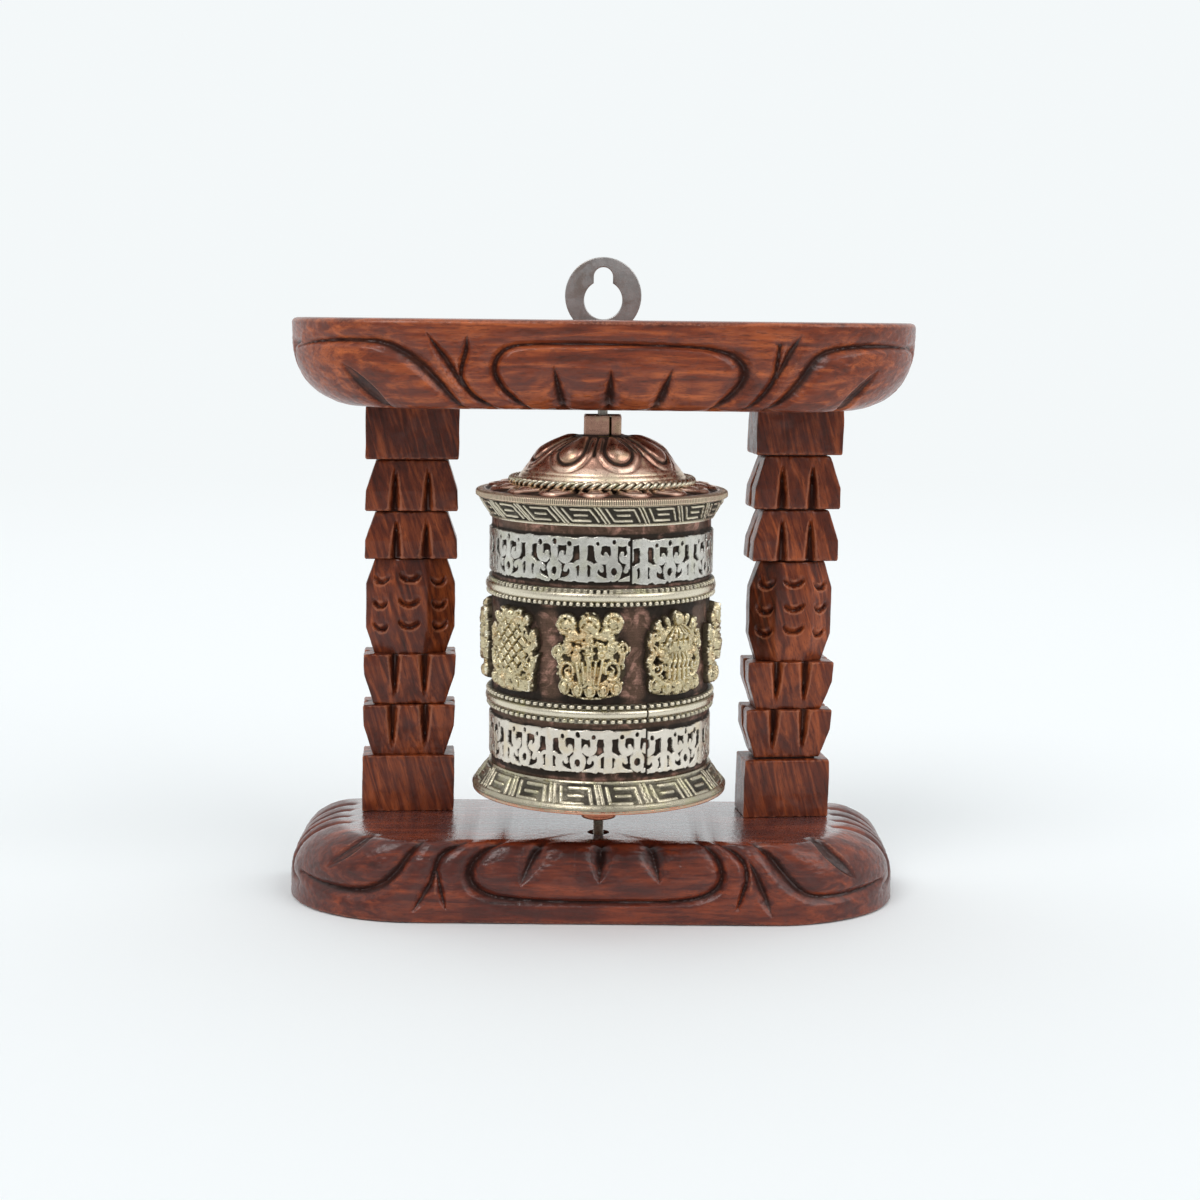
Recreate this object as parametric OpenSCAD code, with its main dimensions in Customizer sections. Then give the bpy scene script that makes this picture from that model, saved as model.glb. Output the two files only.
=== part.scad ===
// Wall or table prayer wheel. A metal drum turns between two pivots in a carved wooden frame.
// Millimetres. +Z is up, +X is to the right seen from the front, and -Y is the front.
// The origin is on the drum's axis, at the underside of the base board.

/* [Boards] */
// Width of both boards
board_w = 171.6; // [168:0.2:180]
// Distance from the drum's axis to the boards' flat back face
board_back = 36.3; // [36:0.1:42]
// Distance from the drum's axis to the boards' front edge
board_front = 15; // [13:0.5:22]
// Thickness of the base board
base_t = 22; // [20:0.5:24]
// Thickness of the top board
top_t = 23.5; // [21:0.5:25]
// Plan radius of the two rounded front corners
corner_r = 33.5; // [28:0.5:36]
// Height of the upright rim at each board's widest edge
rim_h = 7; // [3:0.5:8]
// How far the rounded edge runs in from the rim
edge_run = 10; // [6:0.5:15]
// How far the middle of the base board lies to the left of the drum's axis
base_shift = 1.8; // [0:0.1:3]
// How far the middle of the top board lies to the right of the drum's axis
top_shift = 0.2; // [0:0.1:3]

/* [Posts] */
// Width of the left post's square blocks
left_w = 26.4; // [24:0.2:28]
// Width of the right post's square blocks
right_w = 24.8; // [24:0.2:28]
// Depth of a post's square blocks, front to back
post_d = 14; // [13:0.5:15]
// Distance from the drum's axis to the foot of the left post
left_x = 55; // [52:0.2:58]
// Distance from the drum's axis to the foot of the right post
right_x = 52.6; // [51.4:0.2:58]
// Distance from the drum's axis back to the middle of the left post
left_y = 28; // [27:0.2:28]
// Distance from the drum's axis back to the middle of the right post
right_y = 25; // [24:0.2:27]
// How far the top of each post leans to the right
post_lean = 1.8; // [0:0.1:2.4]
// How far the left post is turned, in degrees
left_turn = 4.5; // [0:0.5:6]
// How far the right post is turned, in degrees
right_turn = 6.5; // [0:0.5:10]
// Clear height between the two boards
post_h = 116.3; // [116.3:0.1:117]
// Depth of the narrow necks between the bells
neck_d = 11; // [10:0.2:12]

/* [Hanger] */
// Radius of the hanger plate's round head
hanger_r = 10.85; // [10:0.05:11]
// Thickness of the steel plate
hanger_t = 1.2; // [1:0.1:1.5]
// Radius of the round hole that passes over a nail head
hanger_hole_r = 5.4; // [5:0.1:6]
// Width of the slot that drops onto the nail
hanger_slot_w = 5.4; // [4.8:0.2:6]

/* [Pivots] */
// Diameter of the plain top pin
pin_d = 2.66; // [2.5:0.02:2.8]
// Outside diameter of the threaded bottom pivot
screw_d = 2.95; // [2.9:0.01:3]
// Radial running clearance in both bushes
run_gap = 0.05; // [0.02:0.01:0.09]

/* [Drum] */
// Outside radius of the copper barrel
barrel_r = 29.6; // [29.2:0.1:29.8]
// Thickness of the sheet metal
sheet = 0.8; // [0.6:0.1:1]
// Height of the drum's bottom plate above the table
drum_z = 35.4; // [34.8:0.2:36]
// Outer radius of the upper flange
flange_r = 34; // [33.8:0.1:34.4]
// Outer radius of the lower skirt's rim
skirt_r = 34.8; // [34.4:0.1:35]
// Height of a plaque
plaque_h = 23; // [20:0.5:24]
// Width of a plaque
plaque_w = 20.5; // [18:0.5:22]
// Radius from the axis to the highest point of a plaque
plaque_r = 33.2; // [32.6:0.1:33.6]
// Angle of the first plaque from the front, towards the left
plaque_turn = -5; // [-22:1:22]

/* [Hidden] */
$fn = 96;
top_z = base_t + post_h;       // underside of the top board
frame_z = top_z + top_t;       // top face of the top board
collar_top = drum_z + 101.4;   // top of the square collar
boss_z = drum_z - 9;           // lower end of the boss under the drum
plate_t = 1;                   // thickness of the drum's bottom plate
flange_z = drum_z + 79.9;      // underside of the flange
dome_foot = flange_z + 1.7;    // where the dome stands on the flange
dome_top = dome_foot + 14.3;   // flat top of the dome
plaque_z = drum_z + 40.8;      // middle height of the plaques
hanger_z = frame_z + 6.8;      // centre of the hanger plate's head
hole_z = frame_z + 5.6;        // centre of the hanger plate's round hole

// ---------------------------------------------------------------- helpers

// A ring around the drum's axis, from a profile of [radius, height] points.
module ring(pts) { rotate_extrude($fn = 180) polygon(pts); }

// A plain cylinder between two heights.
module rod(r, z0, z1) { translate([0, 0, z0]) cylinder(r = r, h = z1 - z0, $fn = 64); }

// Half section of a board's edge: [inset from the rim, height], upright rim then a rounded shoulder.
function edge_profile(t) = concat(
    [[corner_r, 0], [0, 0], [0, rim_h]],
    [for (a = [10:10:90]) [edge_run * (1 - cos(a)), rim_h + (t - rim_h) * sin(a)]],
    [[corner_r, t]]);

// The solid of a board of thickness t: square back corners, rounded front corners.
module board_blank(t) {
    cx = board_w / 2 - corner_r;
    cy = corner_r - board_front;
    translate([-cx, cy, 0]) cube([2 * cx, board_back - cy, t]);
    translate([-cx, cy, 0]) rotate([90, 0, 90])
        linear_extrude(2 * cx) polygon([for (p = edge_profile(t)) [p[0] - corner_r, p[1]]]);
    for (s = [0, 1]) mirror([s, 0, 0]) {
        translate([cx, cy, 0]) rotate_extrude(angle = -90, $fn = 120)
            polygon([for (p = edge_profile(t)) [corner_r - p[0], p[1]]]);
        translate([cx, cy, 0]) mirror([0, 1, 0]) rotate([90, 0, 0])
            linear_extrude(board_back - cy) polygon([for (p = edge_profile(t)) [corner_r - p[0], p[1]]]);
    }
}

// A countersunk wood screw, head face at z = 0 and point downwards.
module wood_screw(len, r, head_r) {
    translate([0, 0, -1.8]) cylinder(r1 = r, r2 = head_r, h = 1.8, $fn = 48);
    translate([0, 0, -len + 3]) cylinder(r = r, h = len - 4.8, $fn = 48);
    translate([0, 0, -len]) cylinder(r1 = 0.4, r2 = r, h = 3, $fn = 48);
}

// Places something at the foot, or at the head, of both posts.
module at_feet() {
    translate([-left_x, left_y, 0]) rotate([0, 0, left_turn]) children();
    translate([right_x, right_y, 0]) rotate([0, 0, right_turn]) children();
}
module at_heads() { at_feet() translate([post_lean, 0, frame_z]) children(); }
module at_base() { mirror([0, 0, 1]) children(); }

// ---------------------------------------------------------------- frame

module top_board() {
    color("#8a452d") difference() {
        translate([top_shift, 0, frame_z]) mirror([0, 0, 1]) board_blank(top_t);
        rod(pin_d / 2, top_z - 1, frame_z + 1);
        rod(2.8, frame_z - 1.2, frame_z + 1);
        at_heads() wood_screw(38, 1.5, 3);
        hanger_screw_pair();
    }
}

module base_board() {
    color("#8a452d") difference() {
        translate([-base_shift, 0, 0]) board_blank(base_t);
        rod(screw_d / 2, -1, base_t + 1);
        rod(3, base_t - 3, base_t + 1);
        rod(3.1, -1, 3);
        at_feet() at_base() wood_screw(38, 1.5, 3);
    }
}

// One side of a post's outline, from its foot up: block, two upturned bells, middle, two bells, block.
// w, n and m are the half widths of the blocks, the necks and the middle.
function post_side(w, n, m) = [
    [w, 0], [w, 16.1], [n, 16.3], [w - 0.2, 24.8], [w, 30.8], [n, 31],
    [w - 0.2, 38.8], [w, 44.8], [n, 45], [m, 52.6], [m, 65.4], [n, 72.9],
    [w, 73.1], [w - 0.2, 79.1], [n, 86.9], [w, 87.1], [w - 0.2, 93.1], [n, 101.9],
    [w, 102.1], [w, post_h]];

// The whole outline, leaning sideways by the given amount at the top.
module post_outline(w, n, m, lean) {
    side = post_side(w, n, m);
    polygon(concat([for (p = side) [p[0] + lean * p[1] / post_h, p[1]]],
        [for (i = [len(side) - 1:-1:0]) [lean * side[i][1] / post_h - side[i][0], side[i][1]]]));
}

module post(w) {
    difference() {
        intersection() {
            translate([0, 2 * post_d, 0]) rotate([90, 0, 0])
                linear_extrude(4 * post_d) post_outline(w / 2, w / 2 - 3, w / 2 - 0.5, post_lean);
            translate([-w, 0, 0]) rotate([90, 0, 90])
                linear_extrude(2 * w) post_outline(post_d / 2, neck_d / 2, post_d / 2 - 0.3, 0);
        }
        // the middle is eight-sided: its four corners are cut away
        for (sx = [-1, 1]) for (sy = [-1, 1])
            translate([post_lean / 2, 0, 45]) linear_extrude(27.9)
                polygon([[sx * 4.8, sy * post_d], [sx * 4.8, sy * (post_d / 2 - 0.3)],
                    [sx * (w / 2 - 0.5), sy * 2.6], [sx * w, sy * 2.6], [sx * w, sy * post_d]]);
        translate([post_lean, 0, post_h + top_t]) wood_screw(38, 1.5, 3);
        translate([0, 0, -base_t]) at_base() wood_screw(38, 1.5, 3);
    }
}

module left_post() {
    color("#74382a") translate([-left_x, left_y, base_t]) rotate([0, 0, left_turn]) post(left_w);
}

module right_post() {
    color("#74382a") translate([right_x, right_y, base_t]) rotate([0, 0, right_turn]) post(right_w);
}

module hanger_plate() {
    color("#93908c") translate([0, board_back + hanger_t, 0]) rotate([90, 0, 0]) difference() {
        linear_extrude(hanger_t) difference() {
            union() {
                translate([0, hanger_z]) circle(r = hanger_r, $fn = 96);
                translate([-10.1, frame_z - 9]) square([20.2, 15]);
                translate([0, frame_z - 9]) circle(r = 10.1, $fn = 96);
            }
            translate([0, hole_z]) circle(r = hanger_hole_r, $fn = 96);
            translate([-hanger_slot_w / 2, hole_z]) square([hanger_slot_w, 6.5]);
            translate([0, hole_z + 6.5]) circle(r = hanger_slot_w / 2, $fn = 64);
        }
        for (z = [frame_z - 5, frame_z - 14]) translate([0, z, 0]) {
            translate([0, 0, -1]) cylinder(r = 1.5, h = hanger_t + 2, $fn = 48);
            cylinder(r1 = 2.7, r2 = 1.5, h = hanger_t, $fn = 48);
        }
    }
}

// The hanger's two screws lie level, heads flush with the back of the plate.
module hanger_screw_pair() {
    for (z = [frame_z - 5, frame_z - 14]) translate([0, board_back + hanger_t, z]) rotate([-90, 0, 0]) {
        translate([0, 0, -hanger_t]) cylinder(r1 = 1.5, r2 = 2.7, h = hanger_t, $fn = 48);
        translate([0, 0, -11]) cylinder(r = 1.5, h = 11 - hanger_t, $fn = 48);
        translate([0, 0, -14]) cylinder(r1 = 0.4, r2 = 1.5, h = 3, $fn = 48);
    }
}

module hanger_screws() { color("#8c8a86") hanger_screw_pair(); }

module top_post_screws() { color("#8c8a86") at_heads() wood_screw(38, 1.5, 3); }

module bottom_post_screws() { color("#8c8a86") at_feet() at_base() wood_screw(38, 1.5, 3); }

module top_pivot_pin() {
    color("#9a9894") {
        rod(2.8, frame_z - 1.2, frame_z);
        rod(pin_d / 2, collar_top - 12, frame_z - 1.2);
        translate([0, 0, collar_top - 13]) cylinder(r1 = 0.5, r2 = pin_d / 2, h = 1, $fn = 48);
    }
}

module bottom_pivot_screw() {
    color("#8d8a84") {
        rod(2.75, 0.8, 3);
        rod(screw_d / 2, 3, boss_z + 6);
        translate([0, 0, boss_z + 6]) cylinder(r1 = screw_d / 2, r2 = 0.5, h = 0.7, $fn = 48);
    }
}

// ---------------------------------------------------------------- drum

module barrel() {
    color("#8d6049") ring([[barrel_r - sheet, drum_z + plate_t], [barrel_r, drum_z + plate_t],
        [barrel_r, flange_z], [barrel_r - sheet, flange_z]]);
}

module bottom_plate() {
    color("#b77a62") ring([[3, drum_z], [skirt_r - 0.5, drum_z], [skirt_r - 0.2, drum_z + 0.3],
        [skirt_r - 0.2, drum_z + 0.7], [skirt_r - 0.5, drum_z + plate_t], [3, drum_z + plate_t]]);
}

module bottom_boss() {
    color("#b77a62") ring([[3, boss_z], [4.6, boss_z], [4.95, boss_z + 0.35], [4.95, drum_z], [3, drum_z]]);
}

// Closed at its top end, so the drum's weight rests on the tip of the screw.
module bottom_bush() {
    color("#c8b070") difference() {
        rod(3, boss_z, drum_z);
        rod(screw_d / 2 + run_gap, boss_z - 1, boss_z + 7);
    }
}

module top_collar() {
    color("#b77a62") difference() {
        translate([-5.05, -5.05, dome_top]) cube([10.1, 10.1, collar_top - dome_top]);
        rod(4.25, dome_top - 1, collar_top + 1);
    }
}

module top_bush() {
    color("#c8b070") difference() {
        rod(4.25, dome_top - 11.3, collar_top - 0.4);
        rod(pin_d / 2 + run_gap, dome_top - 12, collar_top + 1);
    }
}

module dome_cap() {
    d = dome_foot;
    color("#b87a66") ring([[4.25, d + 14.3], [7.3, d + 14.3], [9.4, d + 13.9], [12.9, d + 12.7],
        [15.8, d + 11.3], [17.6, d + 9.9], [19.4, d + 7.5], [21.3, d + 5.1], [22.4, d + 3.6], [22.9, d + 2.2], [22.9, d],
        [22.1, d], [22.1, d + 2], [21.6, d + 3.2], [20.6, d + 4.6], [18.7, d + 7], [17, d + 9.2],
        [15.3, d + 10.5], [12.6, d + 11.8], [9.2, d + 13], [7.2, d + 13.4], [4.25, d + 13.4]]);
}

module flange_plate() {
    z = flange_z;
    color("#b87a66") ring([[4.25, z], [flange_r - 0.2, z], [flange_r, z + 0.2], [flange_r, z + 1.5], [flange_r - 0.5, z + 2],
        [30.5, z + 2.6], [26.2, z + 3], [22.9, z + 3], [22.9, z + 1.7], [4.25, z + 1.7]]);
}

module dome_wire() {
    color("#c9c6b4") translate([0, 0, flange_z + 4.2]) rotate_extrude($fn = 180)
        translate([24.1, 0]) circle(r = 1.2, $fn = 32);
}

// Flared band with a thick rim.
module key_band(z0, z1, r0, r1) {
    ring([[barrel_r, z0], [r0, z0], [r1, z1], [r1 - 1.4, z1], [barrel_r, z0 + (z1 - z0) * 0.35]]);
}

module upper_key_band() { color("#b9b7a8") key_band(flange_z - 5.5, flange_z, barrel_r + 0.6, flange_r - 0.4); }

module lower_key_band() {
    color("#b9b7a8") ring([[barrel_r, drum_z + 7.9], [barrel_r + 0.6, drum_z + 7.9],
        [skirt_r, drum_z + plate_t + 0.6], [skirt_r, drum_z + plate_t], [skirt_r - 1.6, drum_z + plate_t],
        [barrel_r, drum_z + 5.6]]);
}

module plain_band(z0, z1, t) {
    ring([[barrel_r, z0], [barrel_r + t, z0], [barrel_r + t, z1], [barrel_r, z1]]);
}

module upper_pierced_band() { color("#c4c2b2") plain_band(drum_z + 59.2, drum_z + 72, 0.7); }
module lower_pierced_band() { color("#c4c2b2") plain_band(drum_z + 9.2, drum_z + 21.6, 0.7); }

// A half round rib between two low shoulders that carry the beads.
module bead_band(z0, z1) {
    m = (z0 + z1) / 2;
    ring(concat([[barrel_r, z0], [barrel_r + 1.1, z0], [barrel_r + 1.1, z0 + 1.2]],
        [for (a = [-80:20:80]) [barrel_r + 1.1 + 0.8 * cos(a), m + 1.2 * sin(a)]],
        [[barrel_r + 1.1, z1 - 1.2], [barrel_r + 1.1, z1], [barrel_r, z1]]));
}

module upper_bead_band() { color("#c9c2a0") bead_band(drum_z + 53.6, drum_z + 58.4); }
module lower_bead_band() { color("#c9c2a0") bead_band(drum_z + 23, drum_z + 28.2); }

module axle_tube() {
    color("#b08d57") ring([[2, drum_z], [3, drum_z], [3, dome_top - 11.3], [2, dome_top - 11.3]]);
}

module paper_scroll() {
    color("#e4d8b8") ring([[3, drum_z + 4], [20, drum_z + 4], [20, drum_z + 76], [3, drum_z + 76]]);
}

module scroll_ties() {
    color("#b03a2e") for (z = [drum_z + 20, drum_z + 60])
        translate([0, 0, z]) rotate_extrude($fn = 96) polygon([[20, -1], [20.6, -0.7], [20.6, 0.7], [20, 1]]);
}

// ---------------------------------------------------------------- plaques

// Bends a flat outline round the barrel, standing out to radius r.
module wrapped(r) {
    intersection() {
        rotate([90, 0, 0]) linear_extrude(plaque_r + 2) children();
        difference() {
            translate([0, 0, -plaque_h]) cylinder(r = r, h = 2 * plaque_h, $fn = 180);
            translate([0, 0, -plaque_h - 1]) cylinder(r = barrel_r, h = 2 * plaque_h + 2, $fn = 180);
        }
    }
}

// Places plaque number k of the eight that go round the drum.
module on_drum(k) { rotate([0, 0, plaque_turn + 45 * k]) translate([0, 0, plaque_z]) children(); }

// A plaque cut to a flat outline, with its lowest part, the open lotus it stands on, 1 mm lower.
// The outlines are drawn for a plaque 20.5 wide and 23 high.
module plaque(points) {
    outline = [for (p = points) [p[0] * plaque_w / 20.5, p[1] * plaque_h / 23]];
    color("#cdbb76") {
        wrapped(plaque_r - 1) intersection() {
            polygon(outline);
            translate([-12, -13]) square([24, 7.4]);
        }
        wrapped(plaque_r) intersection() {
            polygon(outline);
            translate([-12, -6]) square([24, 20]);
        }
    }
}

module plaque_lotus() { on_drum(0) plaque([
    [5.2, -11.6], [7.8, -10.1], [8.3, -8.5], [8.5, -7], [8.8, -5.4], [8.9, -3.9], [8.9, -2.3], [9.5, -0.8],
    [10.2, 0.8], [10.2, 2.3], [9.8, 3.9], [7.7, 5.4], [8.2, 7], [8.6, 8.5], [8.6, 10.1], [7.7, 11.6],
    [-7.6, 11.6], [-8.7, 10.1], [-9.2, 8.5], [-9, 7], [-8.1, 5.4], [-8.9, 3.9], [-10.1, 2.3], [-10.3, 0.8],
    [-10, -0.8], [-8.8, -2.3], [-8.9, -3.9], [-8.9, -5.4], [-8.4, -7], [-8.4, -8.5], [-7.8, -10.1], [-5.2, -11.6]]); }

module plaque_knot() { on_drum(-1) plaque([
    [7.7, -11.2], [8.3, -9.6], [8.4, -8.1], [8.3, -6.6], [8.7, -5.1], [9, -3.5], [9.4, -2], [10.1, -0.5],
    [9.8, 1.1], [9.4, 2.6], [9.2, 4.1], [9, 5.6], [8.3, 7.2], [7.1, 8.7], [6.6, 10.2], [4.4, 11.7],
    [-4.3, 11.7], [-6.6, 10.2], [-7.1, 8.7], [-8.3, 7.2], [-8.8, 5.6], [-9.1, 4.1], [-9.1, 2.6], [-9, 1.1],
    [-9.8, -0.5], [-9.8, -2], [-9.2, -3.5], [-8.6, -5.1], [-8.5, -6.6], [-8.5, -8.1], [-8.2, -9.6], [-7.2, -11.2]]); }

module plaque_fish() { on_drum(-2) plaque([
    [7.2, -11.2], [8, -9.7], [8.3, -8.2], [8.4, -6.7], [8.6, -5.2], [9, -3.7], [9.5, -2.2], [9.7, -0.7],
    [9.5, 0.8], [9, 2.3], [9, 3.8], [9, 5.3], [8.1, 6.8], [7.1, 8.3], [6.3, 9.8], [1.4, 11.3],
    [-1.4, 11.3], [-6.3, 9.8], [-7.5, 8.3], [-8.3, 6.8], [-9, 5.3], [-9.2, 3.8], [-9.2, 2.3], [-9.1, 0.8],
    [-9.9, -0.7], [-9.8, -2.2], [-8.8, -3.7], [-8.5, -5.2], [-8.5, -6.7], [-8.2, -8.2], [-7.7, -9.7], [-7.2, -11.2]]); }

module plaque_wheel() { on_drum(-3) plaque([
    [7.4, -11.2], [8.1, -9.7], [8.4, -8.2], [8.4, -6.7], [8.5, -5.2], [9, -3.7], [9.9, -2.2], [10, -0.7],
    [9.3, 0.8], [9.3, 2.3], [9.2, 3.8], [8.9, 5.3], [8.2, 6.8], [6.1, 8.3], [4.8, 9.8], [1.8, 11.3],
    [-1.9, 11.3], [-4.9, 9.8], [-6.1, 8.3], [-8.2, 6.8], [-8.7, 5.3], [-9.1, 3.8], [-9.1, 2.3], [-9, 0.8],
    [-9.6, -0.7], [-9.4, -2.2], [-8.8, -3.7], [-8.6, -5.2], [-8.3, -6.7], [-8.1, -8.2], [-7.9, -9.7], [-7.4, -11.2]]); }

module plaque_banner() { on_drum(4) plaque([
    [7.2, -11.2], [8.2, -9.7], [8.4, -8.2], [8.5, -6.7], [8.6, -5.2], [9, -3.7], [9.5, -2.2], [9.4, -0.7],
    [9.2, 0.8], [9.5, 2.3], [9.1, 3.8], [9, 5.3], [8.1, 6.8], [6.2, 8.3], [5.6, 9.8], [1.3, 11.3],
    [-1.3, 11.3], [-5.6, 9.8], [-6.3, 8.3], [-8.1, 6.8], [-9, 5.3], [-9, 3.8], [-8.9, 2.3], [-9.6, 0.8],
    [-9.7, -0.7], [-8.8, -2.2], [-9, -3.7], [-8.8, -5.2], [-8.4, -6.7], [-8.2, -8.2], [-8.1, -9.7], [-7.4, -11.2]]); }

module plaque_conch() { on_drum(3) plaque([
    [7.2, -11.2], [8.2, -9.7], [8.5, -8.3], [8.5, -6.9], [8.5, -5.4], [9, -4], [9.2, -2.6], [9.2, -1.1],
    [9.2, 0.3], [9.2, 1.7], [9.2, 3.1], [9, 4.6], [8.6, 6], [7.6, 7.4], [6.8, 8.9], [5.3, 10.3],
    [-5.7, 10.3], [-6.9, 8.9], [-7.6, 7.4], [-8.7, 6], [-8.9, 4.6], [-8.9, 3.1], [-8.9, 1.7], [-9.2, 0.3],
    [-9.2, -1.1], [-9.1, -2.6], [-9, -4], [-8.5, -5.4], [-8.2, -6.9], [-8.2, -8.3], [-8.1, -9.7], [-7.4, -11.2]]); }

module plaque_vase() { on_drum(2) plaque([
    [7.2, -11.2], [8.4, -9.7], [8.6, -8.2], [8.4, -6.7], [8.5, -5.2], [9, -3.7], [9.1, -2.2], [8.8, -0.7],
    [9.3, 0.8], [9.2, 2.3], [8.9, 3.8], [8.8, 5.3], [8.2, 6.8], [6.2, 8.3], [5.3, 9.8], [0.9, 11.3],
    [-0.9, 11.3], [-5.2, 9.8], [-6.3, 8.3], [-8.3, 6.8], [-8.9, 5.3], [-9.2, 3.8], [-9, 2.3], [-9.3, 0.8],
    [-9.4, -0.7], [-9.4, -2.2], [-9, -3.7], [-8.6, -5.2], [-8.6, -6.7], [-8.6, -8.2], [-8.2, -9.7], [-7.2, -11.2]]); }

module plaque_parasol() { on_drum(1) plaque([
    [7.2, -11.2], [8.3, -9.6], [8.4, -8.1], [8.3, -6.6], [8.7, -5.1], [9.1, -3.5], [9, -2], [9.4, -0.5],
    [9.2, 1.1], [9.1, 2.6], [9, 4.1], [8.8, 5.6], [8.2, 7.2], [7.3, 8.7], [6.3, 10.2], [1.4, 11.8],
    [-1.5, 11.8], [-5.8, 10.2], [-7.3, 8.7], [-8, 7.2], [-8.7, 5.6], [-9.2, 4.1], [-9.2, 2.6], [-8.8, 1.1],
    [-9.3, -0.5], [-9.4, -2], [-9.1, -3.5], [-8.7, -5.1], [-8.6, -6.6], [-8.6, -8.1], [-8.5, -9.6], [-7.2, -11.2]]); }

// ---------------------------------------------------------------- assembly

top_board();
base_board();
left_post();
right_post();
hanger_plate();
hanger_screws();
top_post_screws();
bottom_post_screws();
top_pivot_pin();
bottom_pivot_screw();
barrel();
bottom_plate();
bottom_boss();
bottom_bush();
top_collar();
top_bush();
dome_cap();
flange_plate();
dome_wire();
upper_key_band();
lower_key_band();
upper_pierced_band();
lower_pierced_band();
upper_bead_band();
lower_bead_band();
axle_tube();
paper_scroll();
scroll_ties();
plaque_lotus();
plaque_knot();
plaque_fish();
plaque_wheel();
plaque_banner();
plaque_conch();
plaque_vase();
plaque_parasol();
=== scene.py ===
import math
import bpy
import numpy as np
from mathutils import Vector, Matrix
from mathutils.geometry import delaunay_2d_cdt


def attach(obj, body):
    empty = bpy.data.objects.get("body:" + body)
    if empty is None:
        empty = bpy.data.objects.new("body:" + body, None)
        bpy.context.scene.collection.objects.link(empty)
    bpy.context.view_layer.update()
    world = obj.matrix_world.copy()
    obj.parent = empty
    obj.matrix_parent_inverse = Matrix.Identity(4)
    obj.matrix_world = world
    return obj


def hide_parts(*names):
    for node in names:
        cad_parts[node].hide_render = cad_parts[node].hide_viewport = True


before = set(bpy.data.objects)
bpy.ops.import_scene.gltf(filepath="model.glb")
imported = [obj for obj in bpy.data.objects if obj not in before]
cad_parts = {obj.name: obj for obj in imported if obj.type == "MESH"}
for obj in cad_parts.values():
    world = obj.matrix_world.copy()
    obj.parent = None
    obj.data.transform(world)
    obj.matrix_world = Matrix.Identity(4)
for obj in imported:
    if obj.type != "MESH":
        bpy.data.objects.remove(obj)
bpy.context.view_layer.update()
MM = 0.001
PI = math.pi
TAU = 2 * math.pi

# ------------------------------------------------------------------ numbers and noise

def sm(a, b, x):
    t = np.clip((x - a) / (b - a), 0, 1)
    return t * t * (3 - 2 * t)


def _hash(ix, iy, iz, seed):
    m = np.uint64(0xFFFFFFFF)
    n = (ix * 73856093) ^ (iy * 19349663) ^ (iz * 83492791) ^ (seed * 668265263 + 974634777)
    n = (n & 0xFFFFFFFF).astype(np.uint64)
    n = ((n ^ (n >> np.uint64(15))) * np.uint64(2246822519)) & m
    n = ((n ^ (n >> np.uint64(13))) * np.uint64(3266489917)) & m
    n = n ^ (n >> np.uint64(16))
    return n.astype(np.float64) / 4294967295.0


def vnoise(x, y, z=0.0, seed=0):
    """Smooth value noise from -1 to 1."""
    x, y, z = np.broadcast_arrays(np.asarray(x, float), np.asarray(y, float), np.asarray(z, float))
    i = [np.floor(a).astype(np.int64) for a in (x, y, z)]
    f = [a - b for a, b in zip((x, y, z), i)]
    f = [a * a * (3 - 2 * a) for a in f]
    h = lambda a, b, c: _hash(i[0] + a, i[1] + b, i[2] + c, seed)
    lerp = lambda a, b, t: a + (b - a) * t
    v = [lerp(lerp(h(0, 0, c), h(1, 0, c), f[0]), lerp(h(0, 1, c), h(1, 1, c), f[0]), f[1]) for c in (0, 1)]
    return lerp(v[0], v[1], f[2]) * 2 - 1


def fbm(x, y, z=0.0, octaves=3, seed=0):
    total, amp, norm = 0.0, 1.0, 0.0
    for o in range(octaves):
        k = 2.0 ** o
        total = total + amp * vnoise(np.asarray(x) * k, np.asarray(y) * k, np.asarray(z) * k, seed + 31 * o)
        norm += amp
        amp *= 0.5
    return total / norm


def catmull(pts, n=6):
    """A smooth polyline through the points, with any further columns carried along."""
    p = np.asarray(pts, float)
    if len(p) < 3:
        return p
    q = np.vstack([2 * p[0] - p[1], p, 2 * p[-1] - p[-2]])
    out = []
    for k in range(1, len(q) - 2):
        t = np.linspace(0, 1, n, endpoint=False)[:, None]
        a, b, c, d = q[k - 1], q[k], q[k + 1], q[k + 2]
        out.append(0.5 * (2 * b + (c - a) * t + (2 * a - 5 * b + 4 * c - d) * t ** 2 + (3 * b - a - 3 * c + d) * t ** 3))
    out.append(p[-1:])
    return np.vstack(out)


def stroke_field(X, Y, line):
    """For each point: the distance to the line less the line's half width there, the half width, and the value column."""
    best = np.full(X.shape, 1e9)
    half = np.ones(X.shape)
    val = np.zeros(X.shape)
    if line.shape[1] == 3:
        line = np.column_stack([line, np.ones(len(line))])
    for a, b in zip(line[:-1], line[1:]):
        reach = max(a[2], b[2]) / 2 + 4.0
        m = (X > min(a[0], b[0]) - reach) & (X < max(a[0], b[0]) + reach) & (Y > min(a[1], b[1]) - reach) & (Y < max(a[1], b[1]) + reach)
        if not m.any():
            continue
        x, y = X[m], Y[m]
        dx, dy = b[0] - a[0], b[1] - a[1]
        t = np.clip(((x - a[0]) * dx + (y - a[1]) * dy) / max(dx * dx + dy * dy, 1e-9), 0, 1)
        h = np.maximum((a[2] + (b[2] - a[2]) * t) / 2, 0.02)
        d = np.hypot(x - a[0] - dx * t, y - a[1] - dy * t) - h
        old = best[m]
        take = d < old
        best[m] = np.where(take, d, old)
        half[m] = np.where(take, h, half[m])
        val[m] = np.where(take, a[3] + (b[3] - a[3]) * t, val[m])
    return best, half, val


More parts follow.
